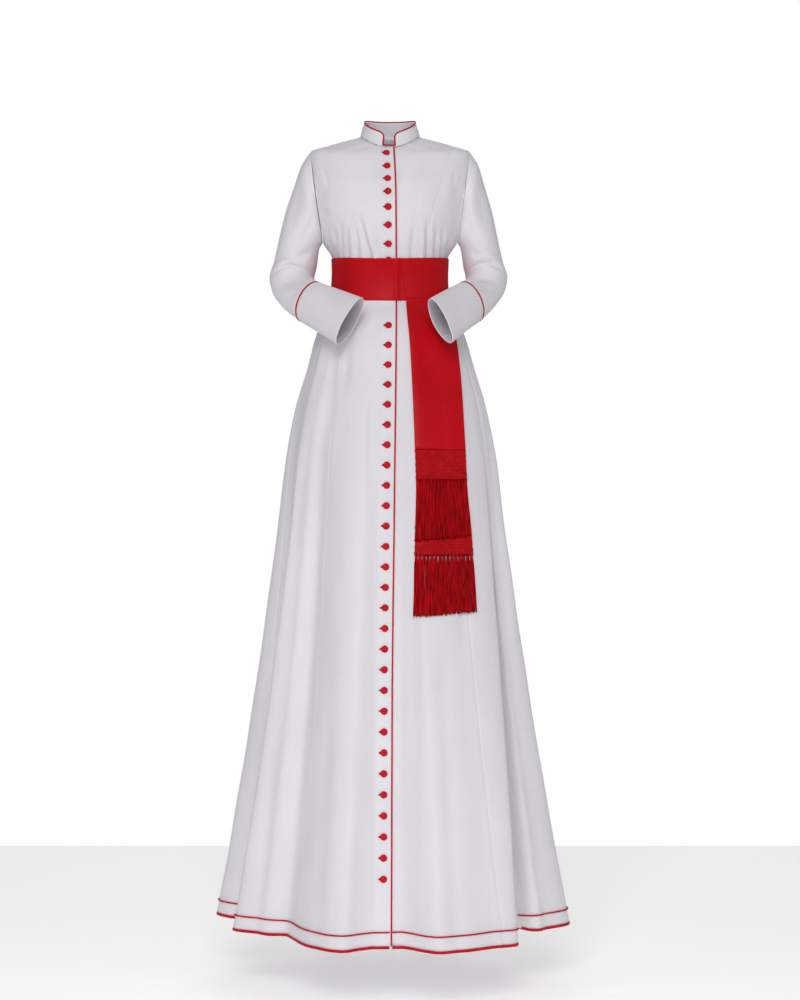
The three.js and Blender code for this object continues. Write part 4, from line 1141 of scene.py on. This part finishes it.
def knotted_band(name, material):
    """Macrame between the satin and the fringe: rows of small knots over a close net of cords."""
    spec = TAILS[name]
    first, last = spec["satin"] - 0.3, spec["knots"]
    height = np.linspace(first, last, 14)[:, None]
    share = np.linspace(0.004, 0.996, 40)[None, :]
    height, share = np.broadcast_arrays(height, share)
    back = on_front(tail_across(height, share), height, spec["out"] + 0.1)
    front = on_front(tail_across(height, share), height, spec["out"] + 0.9)
    parts = [wall(front, back)]
    rng = np.random.default_rng(11 if name == "front" else 12)
    pitch = (first - last - 4) / (KNOT_ROWS - 1)
    for row in range(KNOT_ROWS):
        level = first - 2 - pitch * row
        offset = 0.5 * (row % 2)
        taller = 1.25 if row in (0, 4, KNOT_ROWS - 1) else 1.0
        for k in range(KNOTS_ACROSS):
            share = (k + 0.25 + offset + rng.normal(0, 0.05)) / KNOTS_ACROSS
            if share > 0.995:
                continue
            centre = on_front(tail_across(level, share), level + rng.normal(0, 0.15),
                              spec["out"] + 1.5)
            parts.append(knot(centre, 2.1 * taller, 2.5 + 0.3 * rng.random(), 1.9 * taller))
    fine = np.linspace(0, 1, 25)
    for k in range(-5, KNOTS_ACROSS + 2):
        for sign in (-1, 1):
            share = (k + 2 + sign * (fine - 0.5) * (KNOT_ROWS - 1) / 2) / KNOTS_ACROSS
            inside = (share > 0.004) & (share < 0.996)
            if inside.sum() < 5:
                continue
            level = lerp(first - 1, last + 1, fine[inside])
            lift = spec["out"] + 1.25 + 0.3 * sign
            path = on_front(tail_across(level, share[inside]), level, lift)
            parts.append(tube(path, 0.8, 6, False, (0, -1, 0)))
    width = np.linspace(0.004, 0.996, 60)
    for level in (first - 0.9, lerp(first, last, 0.46), last + 1.0):
        path = on_front(tail_across(level, width), level, spec["out"] + 1.3)
        parts.append(tube(path, 0.95, 6, False, (0, -1, 0)))
    return add_piece(f"knotted_band_{name}_cords", f"knotted_band_{name}", joined(parts),
                     material)


STRANDS = 30
BUNDLE = 2


def hanging_fringe(name, material):
    """Twisted cords in three layers: they leave the heading in small bundles and then spread."""
    spec = TAILS[name]
    rng = np.random.default_rng(21 if name == "front" else 22)
    head = spec["knots"] - 0.3
    width = np.linspace(0.004, 0.996, 60)
    path = on_front(tail_across(head - 1.5, width), head - 1.5, spec["out"] + 1.5)
    parts = [tube(path, 1.4, 8, False, (0, -1, 0))]
    for layer, count in ((0, STRANDS), (0.8, STRANDS - 1), (1.6, STRANDS)):
        for k in range(count):
            place = (k + 0.5 + 0.5 * (layer == 0.8)) / STRANDS
            share = np.clip(place + rng.normal(0, 0.004), 0.016, 0.984)
            bundle = (np.floor((place * STRANDS) / BUNDLE) + 0.5) * BUNDLE / STRANDS
            foot = (spec["fringe"] + spec["slope"] * share + rng.normal(0.8, 0.9)
                    + 0.8 * (1.6 - layer))
            height = np.linspace(head - 0.8, max(foot, spec["fringe"] - 2), 26)
            fall = (height[0] - height) / (height[0] - height[-1])
            gather = (1 - smooth(fall, 0.03, 0.16)) * 0.62
            sway = rng.normal(0, 0.004) * fall ** 1.5 + 0.003 * np.sin(fall * 5 + rng.random() * 6)
            across = lerp(share, bundle, gather) + sway
            lift = spec["out"] + 1.0 + layer + 0.4 * fall * rng.random()
            path = on_front(tail_across(height, np.clip(across, 0.012, 0.988)), height, lift)
            parts += twisted(path, 1.85 + 0.1 * rng.normal(), 8.5, 6, rng.random() * 6)
    return add_piece(f"fringe_{name}_cords", f"fringe_{name}", joined(parts), material)


def knot(centre, wide, tall, deep):
    """A small round knot: a squashed ball with a waist."""
    rings, count = [], 8
    turn = np.linspace(0, 2 * np.pi, count, endpoint=False)
    for lift, size in ((-1, 0.35), (-0.62, 0.86), (0, 1.0), (0.62, 0.86), (1, 0.35)):
        ring = np.stack([np.cos(turn) * wide * size, np.sin(turn) * deep * size,
                         np.full(count, lift * tall / 1.3)], -1)
        rings.append(centre + ring)
    points = np.concatenate(rings)
    faces = [tuple(f[::-1]) for f in grid_faces(5, count, 0, True)]
    faces += [tuple(range(count)), tuple(range(4 * count, 5 * count))[::-1]]
    return points, faces


# ---- stage ----------------------------------------------------------------------------------

FLOOR = -1.58


def build_stage():
    wide, near, far = 2.6, -2.6, 1.7
    mesh = bpy.data.meshes.new("floor")
    mesh.from_pydata([(-wide, near, FLOOR), (wide, near, FLOOR), (wide, far, FLOOR),
                      (-wide, far, FLOOR)], [], [(0, 1, 2, 3)])
    mesh.materials.append(floor_material())
    floor = bpy.data.objects.new("floor", mesh)
    bpy.context.scene.collection.objects.link(floor)

    world = bpy.data.worlds.new("studio")
    bpy.context.scene.world = world
    world.use_nodes = True
    tree = world.node_tree
    glow = tree.nodes["Background"]
    glow.inputs["Color"].default_value = (1.0, 1.0, 1.0, 1)
    way = tree.nodes.new("ShaderNodeTexCoord")
    split = tree.nodes.new("ShaderNodeSeparateXYZ")
    tree.links.new(way.outputs["Generated"], split.inputs[0])
    # the glow is stronger from the wearer's front and from above
    behind, above = tree.nodes.new("ShaderNodeMath"), tree.nodes.new("ShaderNodeMath")
    for node, way_out, factor in ((behind, "Y", -0.06), (above, "Z", 0.06)):
        node.operation = "MULTIPLY_ADD"
        node.inputs[1].default_value = factor
        tree.links.new(split.outputs[way_out], node.inputs[0])
    behind.inputs[2].default_value = 0.25
    tree.links.new(behind.outputs[0], above.inputs[2])
    tree.links.new(above.outputs[0], glow.inputs["Strength"])
    plain = tree.nodes.new("ShaderNodeBackground")
    plain.inputs["Color"].default_value = (1.0, 1.0, 1.0, 1)
    seen = tree.nodes.new("ShaderNodeLightPath")
    both = tree.nodes.new("ShaderNodeMixShader")
    tree.links.new(seen.outputs["Is Camera Ray"], both.inputs[0])
    tree.links.new(glow.outputs[0], both.inputs[1])
    tree.links.new(plain.outputs[0], both.inputs[2])
    tree.links.new(both.outputs[0], tree.nodes["World Output"].inputs["Surface"])
    bpy.context.scene.view_settings.view_transform = "Standard"


def area_light(name, place, target, size, power):
    light = bpy.data.lights.new(name, "AREA")
    light.shape = "RECTANGLE"
    light.size, light.size_y = size
    light.energy = power
    lamp = bpy.data.objects.new(name, light)
    lamp.location = place
    aim = np.array(target, float) - np.array(place, float)
    lamp.rotation_mode = "QUATERNION"
    lamp.rotation_quaternion = Vector(aim).to_track_quat("-Z", "Y")
    bpy.context.scene.collection.objects.link(lamp)


def build_lights():
    aim = (0, 0, -0.75)
    area_light("left", (-3.4, -2.9, 0.5), aim, (1.8, 2.8), 8)
    area_light("right", (3.4, -2.9, 0.5), aim, (1.8, 2.8), 8)
    area_light("front", (-0.3, -4.7, 1.4), aim, (2.2, 2.0), 112)
    area_light("back", (0.3, 3.6, 1.8), aim, (2.4, 2.2), 24)


def build_camera():
    camera = bpy.data.cameras.new("camera")
    camera.lens = 85.26
    camera.sensor_width = 36
    camera.clip_start, camera.clip_end = 0.1, 60
    eye = bpy.data.objects.new("camera", camera)
    eye.location = (0.019, -4.5, -0.6745)
    eye.rotation_euler = (math.radians(90), 0, 0)
    bpy.context.scene.collection.objects.link(eye)
    bpy.context.scene.camera = eye


# ---- the whole object -----------------------------------------------------------------------

build_camera()
build_stage()
build_lights()

TWILL = cassock_cloth()
SATIN_RED = sash_satin()
PIPING_RED = trim_satin("piping_satin", (0.46, 0.005, 0.016), (0.60, 0.008, 0.024), 0.42)
BUTTON_RED = trim_satin("button_satin", (0.48, 0.005, 0.016), (0.60, 0.008, 0.022), 0.40)
THREAD_RED = trim_satin("buttonhole_thread", (0.42, 0.006, 0.016), (0.54, 0.010, 0.024), 0.5)
CORD_RED = fringe_cord()
KNOT_RED = trim_satin("knotted_rayon", (0.43, 0.002, 0.006), (0.60, 0.005, 0.011), 0.46)

panels = build_panels(TWILL)
sleeves = {side: build_sleeve(side, TWILL, PIPING_RED) for side in ("right", "left")}
collar, collar_grid, collar_cord = build_collar(TWILL, PIPING_RED)
front_cord = build_front_piping(PIPING_RED)
build_hem(PIPING_RED)
buttons, tips = build_buttons(BUTTON_RED, THREAD_RED)
band, band_grid = build_band(SATIN_RED)
tails = {name: build_tail(name, SATIN_RED, CORD_RED, KNOT_RED) for name in ("back", "front")}
